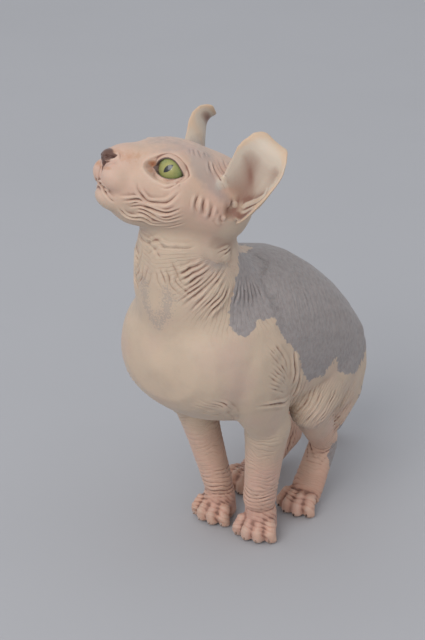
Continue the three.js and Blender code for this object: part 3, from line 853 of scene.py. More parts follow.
def family(first, last, count, seed):
    """Paths that change evenly from the first to the last, each a little off by chance"""
    chance = np.random.default_rng(seed)
    ends = [evenly(path, FAMILY_POINTS) for path in (first, last)]
    spacing = np.linalg.norm(ends[0] - ends[1], axis=1).mean() / max(count - 1, 1)
    made = []
    for share in np.linspace(0, 1, count):
        path = ends[0] * (1 - share) + ends[1] * share
        path = path + chance.normal(0, FAMILY_STRAY * spacing, path.shape)
        kept = chance.uniform(0, FAMILY_CUT), chance.uniform(1 - FAMILY_CUT, 1)
        begin, end = (int(FAMILY_FINE * place) for place in kept)
        made.append(evenly(evenly(path, FAMILY_FINE)[begin:end], FAMILY_POINTS))
    return made


def fold_traces(tree):
    """Every drawn fold on the skin, as drawn and mirrored, with its depth, its width and how much the skin
    beside it rises"""
    chance = np.random.default_rng(4)
    drawn = [(*form, path) for *form, paths in LONE_FOLDS for path in paths]
    for seed, (first, last, count, depth, width, puff, part) in enumerate(FOLD_FAMILIES):
        for path in family(first, last, count, seed):
            drawn.append((depth * chance.uniform(*FAMILY_DEPTH), width, puff, part, path))
    made = []
    for depth, width, puff, part, path in drawn:
        trace = on_skin(tree, cut_corners(path))
        if len(trace) > 1:
            made += [(line, depth, width, puff) for line in (trace, on_other_side(tree, trace, part))]
    return made


# How far the folds wander from their drawn lines and over which length, in millimetres
FOLD_WANDER = 1.0
FOLD_WANDER_SIZE = 9
# Where the mesh is refined for the folds: within which share of their depth on lines so much wider
REFINED_WIDER = 1.3
REFINED_ENDS = 0.1
REFINED_FROM = 0.2
# How deep the folds are on the mean, how much that changes by chance and over which length, and the most that
# the skin sinks and rises, in millimetres
FOLD_MEAN = 0.95
FOLD_CHANGE = 0.4
FOLD_CHANGE_SIZE = 7
FOLD_BOUNDS = (-2.4, 1.6)


def draw_folds(clay, depth_share):
    """Presses every drawn fold into the skin, on a finer mesh where they run"""
    traces = fold_traces(tree_of(clay.piece.data))
    reached = np.zeros(len(clay.points))
    order = np.argsort(clay.points[:, 2])
    for trace, _, width, _ in traces:
        crease(clay.points, reached, trace, -1, REFINED_WIDER * width, 0, REFINED_ENDS, order)
    clay.refine(reached > REFINED_FROM)
    wander = np.column_stack([ripple(clay.points, FOLD_WANDER_SIZE, seed) for seed in (21, 22, 23)])
    places = clay.points + wander * FOLD_WANDER
    order = np.argsort(places[:, 2])
    rise = np.zeros(len(places))
    for trace, depth, width, puff in traces:
        crease(places, rise, trace, depth * depth_share, width, puff, order=order)
    uneven = FOLD_MEAN + FOLD_CHANGE * ripple(clay.points, FOLD_CHANGE_SIZE, 24)
    clay.press(np.clip(rise * uneven, *FOLD_BOUNDS))


# How the wrinkles sway by chance, broadly and finely: how much, over which length and from which seed. Then
# how far inside their reach they are full, in millimetres, the rise between them as a share of their depth
# and their width as a share of their spacing, and how their depth changes by chance: its mean, how much, and
# its bounds
WRINKLE_SWAYS = ((0.6, 11, 40), (0.2, 5, 60))
WRINKLE_EDGE = 4
WRINKLE_RISE = 0.35
WRINKLE_WIDTH = 0.2
WRINKLE_MEAN = 0.7
WRINKLE_CHANGE = 0.6
WRINKLE_BOUNDS = (0.1, 1.3)


def across_limb(clay, start, end, reach, spacing, seed):
    """The points round one length of a limb, the number of the wrinkle that each is at, how strong the
    wrinkle is there, and the points' places"""
    way = np.array(end, dtype=float) - np.array(start)
    length = np.linalg.norm(way)
    along = (clay.points - np.array(start)) @ (way / length)
    apart = np.linalg.norm(clay.points - np.array(start) - along[:, None] * (way / length), axis=1)
    near = np.flatnonzero((along > -spacing) & (along < length + spacing) & (apart < reach))
    here = clay.points[near]
    turn = along[near] / spacing
    for amount, size, first_seed in WRINKLE_SWAYS:
        turn += amount * ripple(here, size, first_seed + seed)
    share = step(along[near], -spacing, spacing) * step(length - along[near], -spacing, spacing)
    share *= step(reach - apart[near], 0, WRINKLE_EDGE)
    return near, turn, share, here


def draw_wrinkles(clay):
    """The cross wrinkles of the legs, the feet and the tail"""
    rise = np.zeros(len(clay.points))
    for seed, (start, end, reach, spacing, depth) in enumerate(WRINKLED):
        near, turn, share, here = across_limb(clay, start, end, reach, spacing, seed)
        off = np.abs(turn - np.round(turn)) * spacing
        groove = WRINKLE_RISE - bell(off, WRINKLE_WIDTH * spacing)
        uneven = np.clip(WRINKLE_MEAN + WRINKLE_CHANGE * ripple(here, 12, 80 + seed), *WRINKLE_BOUNDS)
        rise[near] += depth * groove * share * uneven
    clay.press(rise)


# The strength and the rounds of the smoothing, on all of the ears and at the foot of their front edge, and
# how far from that edge it begins and is full, in millimetres
EAR_SMOOTHING = (0.3, 26)
EDGE_SMOOTHING = (0.9, 110)
EDGE_AROUND = (14, 3)


def shape_ears(clay):
    """Softens the edges of the ears and melts the foot of their front edge into the head"""
    strength, rounds = EAR_SMOOTHING
    clay.put(relaxed(clay.points, clay.edges, strength * clay.ears(), rounds))
    apart = along_path(to_left(clay.local), cut_corners(EAR_FRONT_EDGE))[0]
    strength, rounds = EDGE_SMOOTHING
    clay.put(relaxed(clay.points, clay.edges, strength * step(apart, *EDGE_AROUND), rounds))


# How the toes are made rounder: by how much, where this is full and ends upwards, against a surface softened
# with which strength and rounds, the most that the skin sinks in millimetres, and which share of that it rises
TOES_SHARE = 1.3
TOES_HIGH = (20, 28)
TOES_SOFTENED = (0.95, 13)
TOES_MOST = 2.3
TOES_RISE = 0.4


def relief(clay, strength, rounds):
    """How far the surface stands out before itself when it is softened"""
    soft = relaxed(clay.points, clay.edges, strength, rounds)
    return np.sum((clay.points - soft) * clay.normals, axis=1)


def deepen_toes(clay):
    """Makes the valleys between the toes deeper and the toes fuller"""
    strength, rounds = TOES_SOFTENED
    raised = relief(clay, np.full(len(clay.points), strength), rounds)
    clay.press(np.clip(raised * (TOES_SHARE * clay.low(*TOES_HIGH)), -TOES_MOST, TOES_MOST * TOES_RISE))


def settle(clay):
    """Keeps the soles on the floor"""
    points = clay.points.copy()
    points[:, 2] = np.maximum(points[:, 2], 0)
    clay.put(points)


# Fine lines that the material draws on the trunk, the neck and the thigh, as bumped grooves with painted
# shade.
# Each kind has the outline of its area in pixels, the direction across its lines, and their spacing in pixels
LINED = (
    (((262, 244), (296, 246), (344, 286), (366, 334), (366, 366), (340, 374), (300, 376), (268, 318),
      (250, 280)),
     (0.96, -0.27), 2.5),
    (((296, 376), (340, 372), (366, 376), (352, 410), (330, 436), (290, 436), (284, 410)), (0.85, 0.52), 2.3),
    (((146, 236), (208, 238), (204, 256), (160, 258)), (0.1, 1.0), 2.4),
)
# The height above which these lines lie, how far inside their outline they are full, and how much they sway
# and over which length
LINES_ABOVE = 60
LINES_FULL = 14
LINES_SWAY = 0.8
LINES_SWAY_SIZE = 30
# The fan of lines of the neck: its middle in pixels and the degrees between two lines, where it begins and
# where it ends out from the middle in pixels, the bounds it lies before and above, in millimetres, and its
# strength
FAN_MIDDLE = (238, 250)
FAN_ANGLE = 3.2
FAN_BEGINS = (8, 20)
FAN_ENDS = (98, 70)
FAN_BEFORE = -20
FAN_ABOVE = 175
FAN_STRENGTH = 0.8
# The strength of the fine lines between the wrinkles of the limbs
LIMB_LINES = 0.6


def fine_lines(clay, pixels):
    """A number that grows by one from each fine line to the next, and how strong the lines are"""
    count = np.zeros(len(clay.points))
    strength = np.zeros(len(clay.points))
    body = (clay.head() < ON_HEAD) & (clay.points[:, 2] > LINES_ABOVE)

    def lay(here, number, amount):
        stronger = amount > strength[here]
        count[here[stronger]] = number[stronger]
        strength[here[stronger]] = amount[stronger]

    for outline, across, spacing in LINED:
        here = np.flatnonzero(body)
        inside = inside_by(pixels[here], outline)
        sway = LINES_SWAY * ripple(clay.points[here], LINES_SWAY_SIZE, 31)
        lay(here, pixels[here] @ np.array(across) / spacing + sway, step(inside, 0, LINES_FULL))
    here = np.flatnonzero(body & (clay.points[:, 1] < FAN_BEFORE) & (clay.points[:, 2] > FAN_ABOVE))
    away = pixels[here] - np.array(FAN_MIDDLE)
    angle = np.degrees(np.arctan2(away[:, 1], -away[:, 0]))
    apart = np.hypot(*away.T)
    sway = LINES_SWAY * ripple(clay.points[here], LINES_SWAY_SIZE, 32)
    lay(here, angle / FAN_ANGLE + sway, FAN_STRENGTH * step(apart, *FAN_BEGINS) * step(apart, *FAN_ENDS))
    for seed, (start, end, reach, spacing, depth) in enumerate(WRINKLED):
        here, turn, share, _ = across_limb(clay, start, end, reach, spacing, seed)
        lay(here, 2 * turn, LIMB_LINES * share)
    return count, strength


# What the skin's material reads


# By the hollow guide the material paints shade into the folds and light onto their tops
# The hollow that counts as 1, in millimetres, and the bounds of its guide. The strength of the softening that
# it is measured against, how much more that is on the head, and its rounds; then how far the measure is
# spread
HOLLOW_UNIT = 0.22
HOLLOW_BOUNDS = (-1, 3)
HOLLOW_SOFTENED = (0.25, 0.65, 12)
HOLLOW_SPREAD = (0.5, 2)
# The height in the frame of the stance above which the patches of the neck lie, how much further the patch of
# the nape reaches than its outline, and the height in the head's frame above which the far ear's patch lies
NECK_PATCHES_ABOVE = 150
NAPE_FURTHER = 2
FAR_EAR_ABOVE = 15
# The share of the face from which it takes stains
STAINED_FACE = 0.5
# How far the dark edge of the lids reaches beyond the opening, how much further at the upper lid, and where
# that begins and is full, upwards
LID_EDGE = 0.35
UPPER_LID_EDGE = 0.5
UPPER_LID_DARK = (-2.5, 1.5)
# How far the rounds of the ears are spread, and how round their rim begins to show and shows fully
RIM_SPREAD = (0.8, 10)
RIM_SHOWS = (0.25, 0.7)
# Where the pink of the legs is full and ends upwards, how strong that of the face is and where it begins and
# is full upwards in the head's frame, and where the flush of the feet is full and ends
PINK_LEGS = (60, 105)
PINK_FACE = 0.6
PINK_FACE_UP = (-30, -10)
FLUSHED_FEET = (14, 46)
# The distances within which guides of patches, and those of the nose and lids, tell how far inside a point
# lies
PATCH_BOUND = 20
FACE_BOUND = 5
STAIN_BOUNDS = (-1, 2)


def spread(clay, values, strength, rounds):
    """One number for each point, drawn towards its neighbours' mean for some rounds"""
    return relaxed(values[:, None], clay.edges, np.full(len(values), strength), rounds)[:, 0]


def patch_guides(clay, sides):
    """How far inside the dusky, the grey and the speckled patches each point lies"""
    on_head = clay.head() > ON_HEAD
    guides = {name: np.full(len(clay.points), -float(PATCH_BOUND)) for name in ("dusky", "grey", "speckled")}

    def lay(name, here, pixels, outline, further=0):
        inside = inside_by(pixels, outline) / PIXELS_PER_MM + further
        guides[name][here] = np.clip(inside, guides[name][here], PATCH_BOUND)

    for of_head, both, outline in GREY_PATCHES:
        here = np.flatnonzero((on_head == of_head) & (both | (clay.points[:, 0] > 0)))
        lay("dusky" if of_head else "grey", here, sides[of_head][here], outline)
    neck = np.flatnonzero(~on_head & (clay.points[:, 2] > NECK_PATCHES_ABOVE))
    lay("dusky", neck, sides[False][neck], NAPE_PATCH, NAPE_FURTHER)
    lay("speckled", neck, sides[False][neck], SPECKLED_PATCH)
    far = np.flatnonzero(on_head & (clay.local[:, 0] < 0) & (clay.local[:, 2] > FAR_EAR_ABOVE))
    lay("dusky", far, pixels_of(clay.points[far]), FAR_EAR_PATCH)
    return guides


def stain_guide(clay, pixels):
    """How strong the stains of the face are at each point, below 0 outside them"""
    stain = np.full(len(clay.points), float(STAIN_BOUNDS[0]))
    face = np.flatnonzero(clay.face() > STAINED_FACE)
    for x, y, half_wide, half_high, strength in STAINS:
        apart = np.hypot((pixels[face, 0] - x) / half_wide, (pixels[face, 1] - y) / half_high)
        stain[face] = np.maximum(stain[face], strength * (1 - apart))
    return np.clip(stain, *STAIN_BOUNDS)


def leather_guide(clay):
    """How far inside the nose leather each point lies"""
    leather = np.full(len(clay.points), -float(FACE_BOUND))
    front = np.flatnonzero(clay.local[:, 1] < LEATHER_BEFORE)
    local = to_left(clay.local[front])
    forward = -local[:, 1] - LEATHER_FRONT - LEATHER_LEAN * (local[:, 2] - LEATHER_MIDDLE)
    leather[front] = np.minimum(inside_by(local[:, [0, 2]], NOSE_LEATHER), forward)
    return np.clip(leather, -FACE_BOUND, FACE_BOUND)


def lid_guide(clay):
    """How far inside the dark edge of the lids each point lies"""
    lid = np.full(len(clay.points), -float(FACE_BOUND))
    for side in SIDES.values():
        near, view, inside = eye_opening(clay, side)
        edge = inside + LID_EDGE + UPPER_LID_EDGE * step(view[:, 1], *UPPER_LID_DARK)
        lid[near] = np.maximum(lid[near], edge)
    return np.clip(lid, -FACE_BOUND, FACE_BOUND)


def colour_guides(clay):
    """Numbers of each point by which the material places its colours, those of areas in millimetres"""
    # The hollow guide: where the material paints shade into folds and light onto their tops
    strength, more, rounds = HOLLOW_SOFTENED
    raised = relief(clay, strength + more * clay.head(), rounds)
    hollow = spread(clay, -raised, *HOLLOW_SPREAD) / HOLLOW_UNIT
    round_parts = spread(clay, np.clip(-hollow, 0, 1), *RIM_SPREAD)
    sides = {True: pixels_of(moved(to_left(clay.local), HEAD)), False: pixels_of(to_left(clay.points))}
    ears = clay.ears()
    pink_face = PINK_FACE * clay.face() * step(clay.local[:, 2], *PINK_FACE_UP)
    count, strength = fine_lines(clay, sides[False])
    guides = {
        "hollow": np.clip(hollow, *HOLLOW_BOUNDS),
        **patch_guides(clay, sides),
        "stain": stain_guide(clay, sides[True]),
        "leather": leather_guide(clay),
        "lid": lid_guide(clay),
        "ear_rim": ears * step(round_parts, *RIM_SHOWS),
        "ear": ears,
        "line": count,
        "line_strength": strength,
        "pink": np.maximum(clay.low(*PINK_LEGS), pink_face),
        "foot": clay.low(*FLUSHED_FEET),
    }
    for name, values in guides.items():
        keep_values(clay.piece.data, name, values)


# How strongly the raw skin is evened, how much less on the head, and for how many rounds. Then by which share
# less at the muzzle, the legs and the toes, and where each of them begins or ends, in millimetres
EVENED = 0.9
HEAD_LESS = 0.4
EVENED_ROUNDS = 40
MUZZLE_LESS = 0.55
MUZZLE_FROM = (-50, -56)
LEGS_LESS = 0.6
LEGS_HIGH = (70, 108)
TOES_LESS = 0.2
TOES_END = (22, 30)
# The share of the face from which its mesh is refined, the strength and the rounds with which the face is
# evened, and how far around the opening of the lids the mesh is refined, first and then again
REFINED_FACE = 0.3
FACE_EVENED = (0.6, 16)
REFINED_RIMS = (2.4, 1.2)


def smoothing_strength(clay):
    """How much each point of the raw skin is evened: broad forms a lot, nose and toes least"""
    strength = EVENED - HEAD_LESS * clay.head()
    strength *= 1 - MUZZLE_LESS * step(clay.local[:, 1], *MUZZLE_FROM) * clay.head()
    strength *= 1 - LEGS_LESS * clay.low(*LEGS_HIGH)
    strength *= 1 - TOES_LESS * clay.low(*TOES_END)
    return strength


def make_skin(settings):
    """One closed skin over all the flesh solids, with its forms, its folds and its colours"""
    piece = raw_skin(settings.grain)
    clay = Clay(piece)
    clay.put(evened(clay.points, clay.edges, smoothing_strength(clay), EVENED_ROUNDS))
    soften_joints(clay)
    pull(clay, HEAD_PULLS)
    clay.refine(clay.face() > REFINED_FACE)
    fill(clay, MUZZLE_FILL)
    strength, rounds = FACE_EVENED
    clay.put(evened(clay.points, clay.edges, strength * clay.face(), rounds))
    for reach in REFINED_RIMS:
        rims = np.zeros(len(clay.points), dtype=bool)
        for side in SIDES.values():
            near, _, inside = eye_opening(clay, side)
            rims[near[np.abs(inside) < reach]] = True
        clay.refine(rims)
    shape_ears(clay)
    shape_lids(clay)
    shape_nose(clay)
    draw_folds(clay, settings.fold_depth)
    draw_wrinkles(clay)
    deepen_toes(clay)
    settle(clay)
    colour_guides(clay)
    mesh = piece.data
    triangles = sum(len(face.vertices) - 2 for face in mesh.polygons)
    with_modifier(piece, "DECIMATE", decimate_type="COLLAPSE", ratio=settings.most_triangles / triangles)
    smooth_shading(piece)
    piece.data.materials.clear()
    piece.data.materials.append(skin_material(settings))
    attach(piece, "root")
    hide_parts(*FLESH)
    return piece


# Materials

# The mix node's sockets for colours: its two inputs and its output
FIRST, SECOND, MIXED = 6, 7, 2


def give(tree, node, sources):
    """Links inputs of a node to sockets, or sets them to values"""
    for name, source in sources.items():
        if isinstance(source, bpy.types.NodeSocket):
            tree.links.new(source, node.inputs[name])
        else:
            node.inputs[name].default_value = source


def add(tree, kind, links=None, output=0, **settings):
    """Adds a node with its settings and what its inputs are given, and returns one of its outputs"""
    node = tree.nodes.new("ShaderNode" + kind)
    for key, value in settings.items():
        setattr(node, key, value)
    give(tree, node, links or {})
    return node.outputs[output]


def new_material(name):
    """A material with its node tree and its shader"""
    material = bpy.data.materials.new(name)
    material.use_nodes = True
    return material, material.node_tree, material.node_tree.nodes["Principled BSDF"]


def per_mm(size):
    """The scale of a pattern on object coordinates whose grain is so many millimetres wide"""
    return 1 / (size * MM)


def layered(tree, ground, layers):
    """A colour under layers of others. Each layer has its guide, where it begins and is full, how much it
    covers at most, and its colour"""
    colour = ground
    for source, low, high, most, tint in layers:
        amount = add(tree, "MapRange", {"Value": source, "From Min": low, "From Max": high, "To Max": most})
        colour = add(tree, "Mix", {0: amount, FIRST: colour, SECOND: tint}, MIXED, data_type="RGBA")
    return colour


# The guides that the skin's mesh carries, and the noises of its material: their grain in millimetres and
# detail
GUIDES = (
    "hollow", "grey", "dusky", "speckled", "stain", "leather", "lid", "ear_rim", "ear", "pink", "foot",
    "line", "line_strength",
)
GRAINS = {"broad": (38, 2), "patch": (11, 3), "edge": (3.2, 3), "speck": (1.3, 3), "down": (0.8, 2)}
# The noises that make the edges of each colour ragged, and how far they move them
RAGGED = {
    "grey": (("patch", 5), ("edge", 5)),
    "dusky": (("patch", 5), ("edge", 5)),
    "speckled": (("speck", 26), ("patch", 5)),
    "stain": (("edge", 1.1),),
    "leather": (("speck", 1.2),),
    "lid": (("speck", 0.5),),
    "line": (("patch", 1.6),),
}


def skin_material(settings):
    # Living skin with a trace of down: matt, slightly translucent, mottled pink and beige, with crisp grey
    # patches;
    # painted light on the tops of its folds, painted shade, darker and redder, in them, and fine lines of
    # painted shade
    material, tree, shader = new_material("bare_skin_with_down")
    place = add(tree, "TexCoord", output="Object")
    guide = {name: add(tree, "Attribute", output="Fac", attribute_name=name) for name in GUIDES}
    noise = {}
    for name, (size, detail) in GRAINS.items():
        cloud = add(tree, "TexNoise", {"Vector": place, "Scale": per_mm(size), "Detail": detail})
        noise[name] = add(tree, "Math", {0: cloud, 1: -0.5}, operation="ADD")
    for name, parts in RAGGED.items():
        for grain, reach in parts:
            ragged = {0: noise[grain], 1: reach, 2: guide[name]}
            guide[name] = add(tree, "Math", ragged, operation="MULTIPLY_ADD")
    # Fine lines: thin grooves where the line number passes a whole one, broken up by chance; bump and painted
    # shade
    swing = add(tree, "Math", {0: guide["line"], 1: 0.5}, operation="PINGPONG")
    lines = add(tree, "MapRange", {"Value": swing, "From Min": 0.2, "From Max": 0})
    broken = {"Value": noise["patch"], "From Min": -0.15, "From Max": 0.1, "To Min": 0.25}
    for weaker in (guide["line_strength"], add(tree, "MapRange", broken)):
        lines = add(tree, "Math", {0: lines, 1: weaker}, operation="MULTIPLY")
    uneven = {"Value": noise["broad"], "From Min": -0.2, "From Max": 0.2, "To Min": 0.6}
    pink = {0: guide["pink"], 1: add(tree, "MapRange", uneven)}
    pink = add(tree, "Math", pink, operation="MULTIPLY")
    in_grey = add(tree, "MapRange", {"Value": guide["grey"], "From Min": 0.2, "From Max": 0.8})
    # Painted shade in the folds of the grey patches
    grey_fold_shade = add(tree, "Math", {0: in_grey, 1: guide["hollow"]}, operation="MULTIPLY")
    grey_mottle = add(tree, "Math", {0: in_grey, 1: noise["edge"]}, operation="MULTIPLY")
    layers = (
        (pink, 0, 1, 1, settings.pink),
        (guide["foot"], 0, 1, 0.75, settings.foot),
        (noise["patch"], -0.02, 0.22, 0.3, settings.blotch),
        (noise["broad"], 0, 0.22, 0.28, settings.mauve),
        (guide["ear"], 0.3, 1, 0.75, settings.ear),
        # Painted light on the tops of folds, painted shade in the folds, darker and redder, and darkest in the
        # deepest
        (guide["hollow"], -0.1, -0.9, 0.3, settings.pale),
        (guide["hollow"], 0.06, 0.75, 0.95, settings.crease),
        (guide["hollow"], 0.8, 2.4, 0.65, settings.dark),
        # Painted shade along the fine lines
        (lines, 0, 1, 0.26, settings.crease),
        (guide["ear_rim"], 0.1, 1, 0.45, settings.ear_rim),
        (guide["stain"], 0, 0.75, 0.75, settings.stain),
        (guide["stain"], 0.8, 1.5, 0.8, settings.haw),
        (guide["dusky"], -2.2, 3.5, 0.5, settings.grey),
        (guide["speckled"], 2.8, 3.9, 0.4, settings.grey),
        (guide["grey"], -0.35, 0.35, 0.96, settings.grey),
        # Painted shade in the grey patches' folds, then a chance mottle in them
        (grey_fold_shade, 0.1, 1.5, 0.55, settings.dark),
        (grey_mottle, -0.1, 0.25, 0.22, settings.dark),
        (guide["leather"], -0.3, 0.4, 0.92, settings.leather),
        (guide["lid"], -0.25, 0.35, 0.85, settings.dark),
    )
    colour = layered(tree, settings.cream, layers)
    dry = {"Value": noise["edge"], "From Min": -0.2, "From Max": 0.2, "To Min": 0.5, "To Max": 0.68}
    dry = add(tree, "MapRange", dry)
    damp = {"Value": guide["leather"], "From Min": -0.3, "From Max": 0.4, "To Min": dry, "To Max": 0.36}
    rough = add(tree, "MapRange", damp)
    # A fine net of lines of the skin about 1.1 mm apart, and down of half a millimetre, drawn coarser than it
    # grows
    cells = add(tree, "TexVoronoi", {"Vector": place, "Scale": per_mm(1.1)}, feature="DISTANCE_TO_EDGE")
    net = add(tree, "MapRange", {"Value": cells, "From Max": 0.25, "To Max": 0.5})
    grain = add(tree, "Math", {0: net, 1: noise["down"]}, operation="ADD")
    bumps = ((grain, 0.35, 0.12), (lines, -0.7, 0.35), (noise["edge"], 0.25, 0.5))
    normal = None
    for height, strength, distance in bumps:
        bump = {"Height": height, "Strength": abs(strength), "Distance": distance * MM}
        if normal:
            bump["Normal"] = normal
        normal = add(tree, "Bump", bump, invert=strength < 0)
    give(tree, shader, {
        "Base Color": colour, "Roughness": rough, "Normal": normal, "IOR": 1.4, "Subsurface Weight": 0.12,
        "Subsurface Radius": (1.0, 0.45, 0.3), "Subsurface Scale": 2.2 * MM, "Sheen Weight": 0.12,
        "Sheen Roughness": 0.45,
    })
    return material


def eye_material(settings):
    # A wet living eye: a clear coat over a green and yellow iris with radial fibres, a dark edge and a slit
    # pupil
    material, tree, shader = new_material("wet_eye")
    seen = add(tree, "Attribute", output="Vector", attribute_name="seen")
    centred = add(tree, "Mapping", {"Vector": seen, "Location": (-PUPIL_MIDDLE[0], -PUPIL_MIDDLE[1], 0)})
    turned = add(tree, "Mapping", {"Vector": centred, "Rotation": (0, 0, -math.radians(PUPIL_LEAN))})
    # The pupil is where the sum of both ways from its middle, in shares of its half sizes, stays below one
    slit = add(tree, "SeparateXYZ", {"Vector": turned}).node
    pupil = 0.0
    for axis, half, power in (("X", PUPIL_HALF[0], 1.0), ("Y", PUPIL_HALF[1], 2.2)):
        off = add(tree, "Math", {0: slit.outputs[axis]}, operation="ABSOLUTE")
        off = add(tree, "Math", {0: off, 1: half}, operation="DIVIDE")
        off = add(tree, "Math", {0: off, 1: power}, operation="POWER")
        pupil = add(tree, "Math", {0: off, 1: pupil}, operation="ADD")
    # The iris in the round: how far out, and at which angle
    flat = add(tree, "SeparateXYZ", {"Vector": centred}).node
    ring = add(tree, "CombineXYZ", {"X": flat.outputs["X"], "Y": flat.outputs["Y"]})
    radius = add(tree, "VectorMath", {0: ring}, "Value", operation="LENGTH")
    angle = add(tree, "Math", {0: flat.outputs["Y"], 1: flat.outputs["X"]}, operation="ARCTAN2")
    around = add(tree, "Math", {0: angle, 1: 9.0}, operation="MULTIPLY")
    outwards = add(tree, "Math", {0: radius, 1: 0.35}, operation="MULTIPLY")
    rays = add(tree, "CombineXYZ", {"X": around, "Y": outwards})
    fibres = add(tree, "TexNoise", {"Vector": rays, "Scale": 1.6, "Detail": 4})
    layers = (
        (radius, 3.0, 7.0, 1, settings.green),
        (fibres, 0.45, 0.7, 0.55, settings.yellow),
        (fibres, 0.5, 0.3, 0.45, settings.olive),
        (radius, IRIS_RADIUS - 1.6, IRIS_RADIUS, 1, settings.edge),
        (radius, IRIS_RADIUS, IRIS_RADIUS + 0.5, 1, settings.white),
        (pupil, 1.12, 0.95, 1, settings.pupil),
    )
    colour = layered(tree, settings.yellow, layers)
    rough = {"Value": fibres, "From Min": 0.3, "From Max": 0.7, "To Min": 0.3, "To Max": 0.42}
    rough = add(tree, "MapRange", rough)
    bump = add(tree, "Bump", {"Height": fibres, "Strength": 0.25, "Distance": 0.15 * MM})
    coat = {"Coat Weight": 1, "Coat Roughness": 0.03, "Coat IOR": 1.376}
    give(tree, shader, {"Base Color": colour, "Roughness": rough, "Normal": bump, **coat})
    return material


def claw_material(name, ground, streak):
    # Horn of a claw: half translucent, streaked along its length, with a dull polish
    material, tree, shader = new_material(name)
    place = add(tree, "TexCoord", output="Object")
    stretched = add(tree, "Mapping", {"Vector": place, "Scale": (1, 0.25, 1)})
    streaks = add(tree, "TexNoise", {"Vector": stretched, "Scale": per_mm(0.7), "Detail": 3})
    colour = layered(tree, ground, ((streaks, 0, 1, 1, streak),))
    rough = add(tree, "MapRange", {"Value": streaks, "To Min": 0.28, "To Max": 0.5})
    bump = add(tree, "Bump", {"Height": streaks, "Strength": 0.3, "Distance": 0.1 * MM})
    give(tree, shader, {"Base Color": colour, "Roughness": rough, "Normal": bump, "IOR": 1.54})
    return material


# Eyes and claws


# How far the clear front of the eye stands out, and how wide it is, in millimetres
CORNEA_RISE = 0.9
CORNEA_REACH = 6.5


def make_eye(side, material):
    """An eyeball with its clear front, turned to its aim, that replaces the solid's"""
    bm = bmesh.new()
    bmesh.ops.create_uvsphere(bm, u_segments=96, v_segments=64, radius=EYE_RADIUS)
    seen = []
    for vertex in bm.verts:
        out = math.hypot(vertex.co.x, vertex.co.y)
        if vertex.co.z > 0:
            vertex.co *= 1 + CORNEA_RISE / EYE_RADIUS * math.exp(-(out / CORNEA_REACH) ** 4)
        seen.append(tuple(vertex.co))
    piece = mesh_object(f"eyeball_{side}", bm)
    axes = Matrix([Vector(axis) for axis in eye_axes()]).transposed().to_4x4()
    mirror = Matrix.Scale(SIDES[side], 4, (1, 0, 0))
    piece.data.transform(HEAD @ mirror @ Matrix.Translation(EYE_CENTRE) @ axes)
    piece.data.transform(Matrix.Scale(MM, 4) @ Matrix.Translation(SHIFT))
    if SIDES[side] < 0:
        piece.data.flip_normals()
    layer = piece.data.attributes.new("seen", "FLOAT_VECTOR", "POINT")
    layer.data.foreach_set("vector", np.array(seen).ravel())
    piece.data.materials.append(material)
    smooth_shading(piece)
    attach(piece, "root")
    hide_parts(f"eye_{side}")


# The panel's settings


def colour_setting(name, description, value):
    return bpy.props.FloatVectorProperty(
        name=name, description=description, size=4, subtype="COLOR", min=0, max=1, default=linear(value))


class SkinSettings(bpy.types.PropertyGroup):
    """The skin's sizes and colours"""

    grain: bpy.props.FloatProperty(
        name="Grain", description="Spacing of the surface's points", default=0.9 * MM, unit="LENGTH")
    fold_depth: bpy.props.FloatProperty(
        name="Fold depth", description="How deep the drawn folds are", default=1.45, subtype="FACTOR")
    most_triangles: bpy.props.IntProperty(
        name="Triangles", description="The most triangles that the skin may have", default=196000)
    cream: colour_setting("Cream", "The light skin of the neck and body", "#C6B09A")
    pink: colour_setting("Pink", "The skin of the face and the legs", "#D3AA95")
    foot: colour_setting("Feet", "The flushed skin of the feet", "#BC8C77")
    blotch: colour_setting("Blotches", "Cool uneven patches", "#B3A08F")
    mauve: colour_setting("Mauve", "Skin through which the blood shows", "#C3A09A")
    # Pale is painted light on the tops of folds; Creases is painted shade in the folds and along the fine
    # lines
    pale: colour_setting("Pale", "The tops of folds", "#DCC6B2")
    crease: colour_setting("Creases", "The bottom of folds", "#8A6455")
    ear: colour_setting("Ears", "The thin skin of the ears", "#CDBFAE")
    ear_rim: colour_setting("Ear rims", "The warm edge of the ears", "#CDA67E")
    haw: colour_setting("Haw", "The red inner corner of the eye", "#A8543A")
    stain: colour_setting("Stains", "Orange stains by the nose and eyes", "#B97F55")
    grey: colour_setting("Grey", "The patches of dark skin", "#968E8C")
    # Dark: the lids' dark edge, mottle in grey patches, and painted shade in deep folds and grey patches'
    # folds
    dark: colour_setting("Dark", "The darkest skin, at the lids and in grey folds", "#3B302E")
    leather: colour_setting("Nose", "The nose leather", "#54372F")


class EyeSettings(bpy.types.PropertyGroup):
    """The colours of the eyes"""

    yellow: colour_setting("Yellow", "The middle of the iris", "#9C9654")
    green: colour_setting("Green", "The outer part of the iris", "#76824A")
    olive: colour_setting("Olive", "The dark fibres", "#66763A")
    edge: colour_setting("Edge", "The dark edge of the iris", "#2F3320")
    white: colour_setting("White", "The eyeball round the iris", "#6E5148")
    pupil: colour_setting("Pupil", "The slit", "#060606")


class ClawSettings(bpy.types.PropertyGroup):
    """The colours of the claws"""

    # The hind claws near black: the dark mark at the tips of the hind toes
    dark: colour_setting("Dark", "The horn of the hind claws", "#17110F")
    pale: colour_setting("Pale", "The horn of the fore claws", "#A88D7E")
    light: colour_setting("Streaks", "The light streaks of both", "#5C473C")


class StageSettings(bpy.types.PropertyGroup):
    """The floor, the light and the camera"""

    floor: colour_setting("Floor", "Colour of the floor", "#B0B0B3")
    key: bpy.props.FloatProperty(
        name="Key light", description="Strength of the large soft light", default=104, unit="POWER")
    room: bpy.props.FloatProperty(
        name="Room light", description="Strength of the light all round", default=0.8)


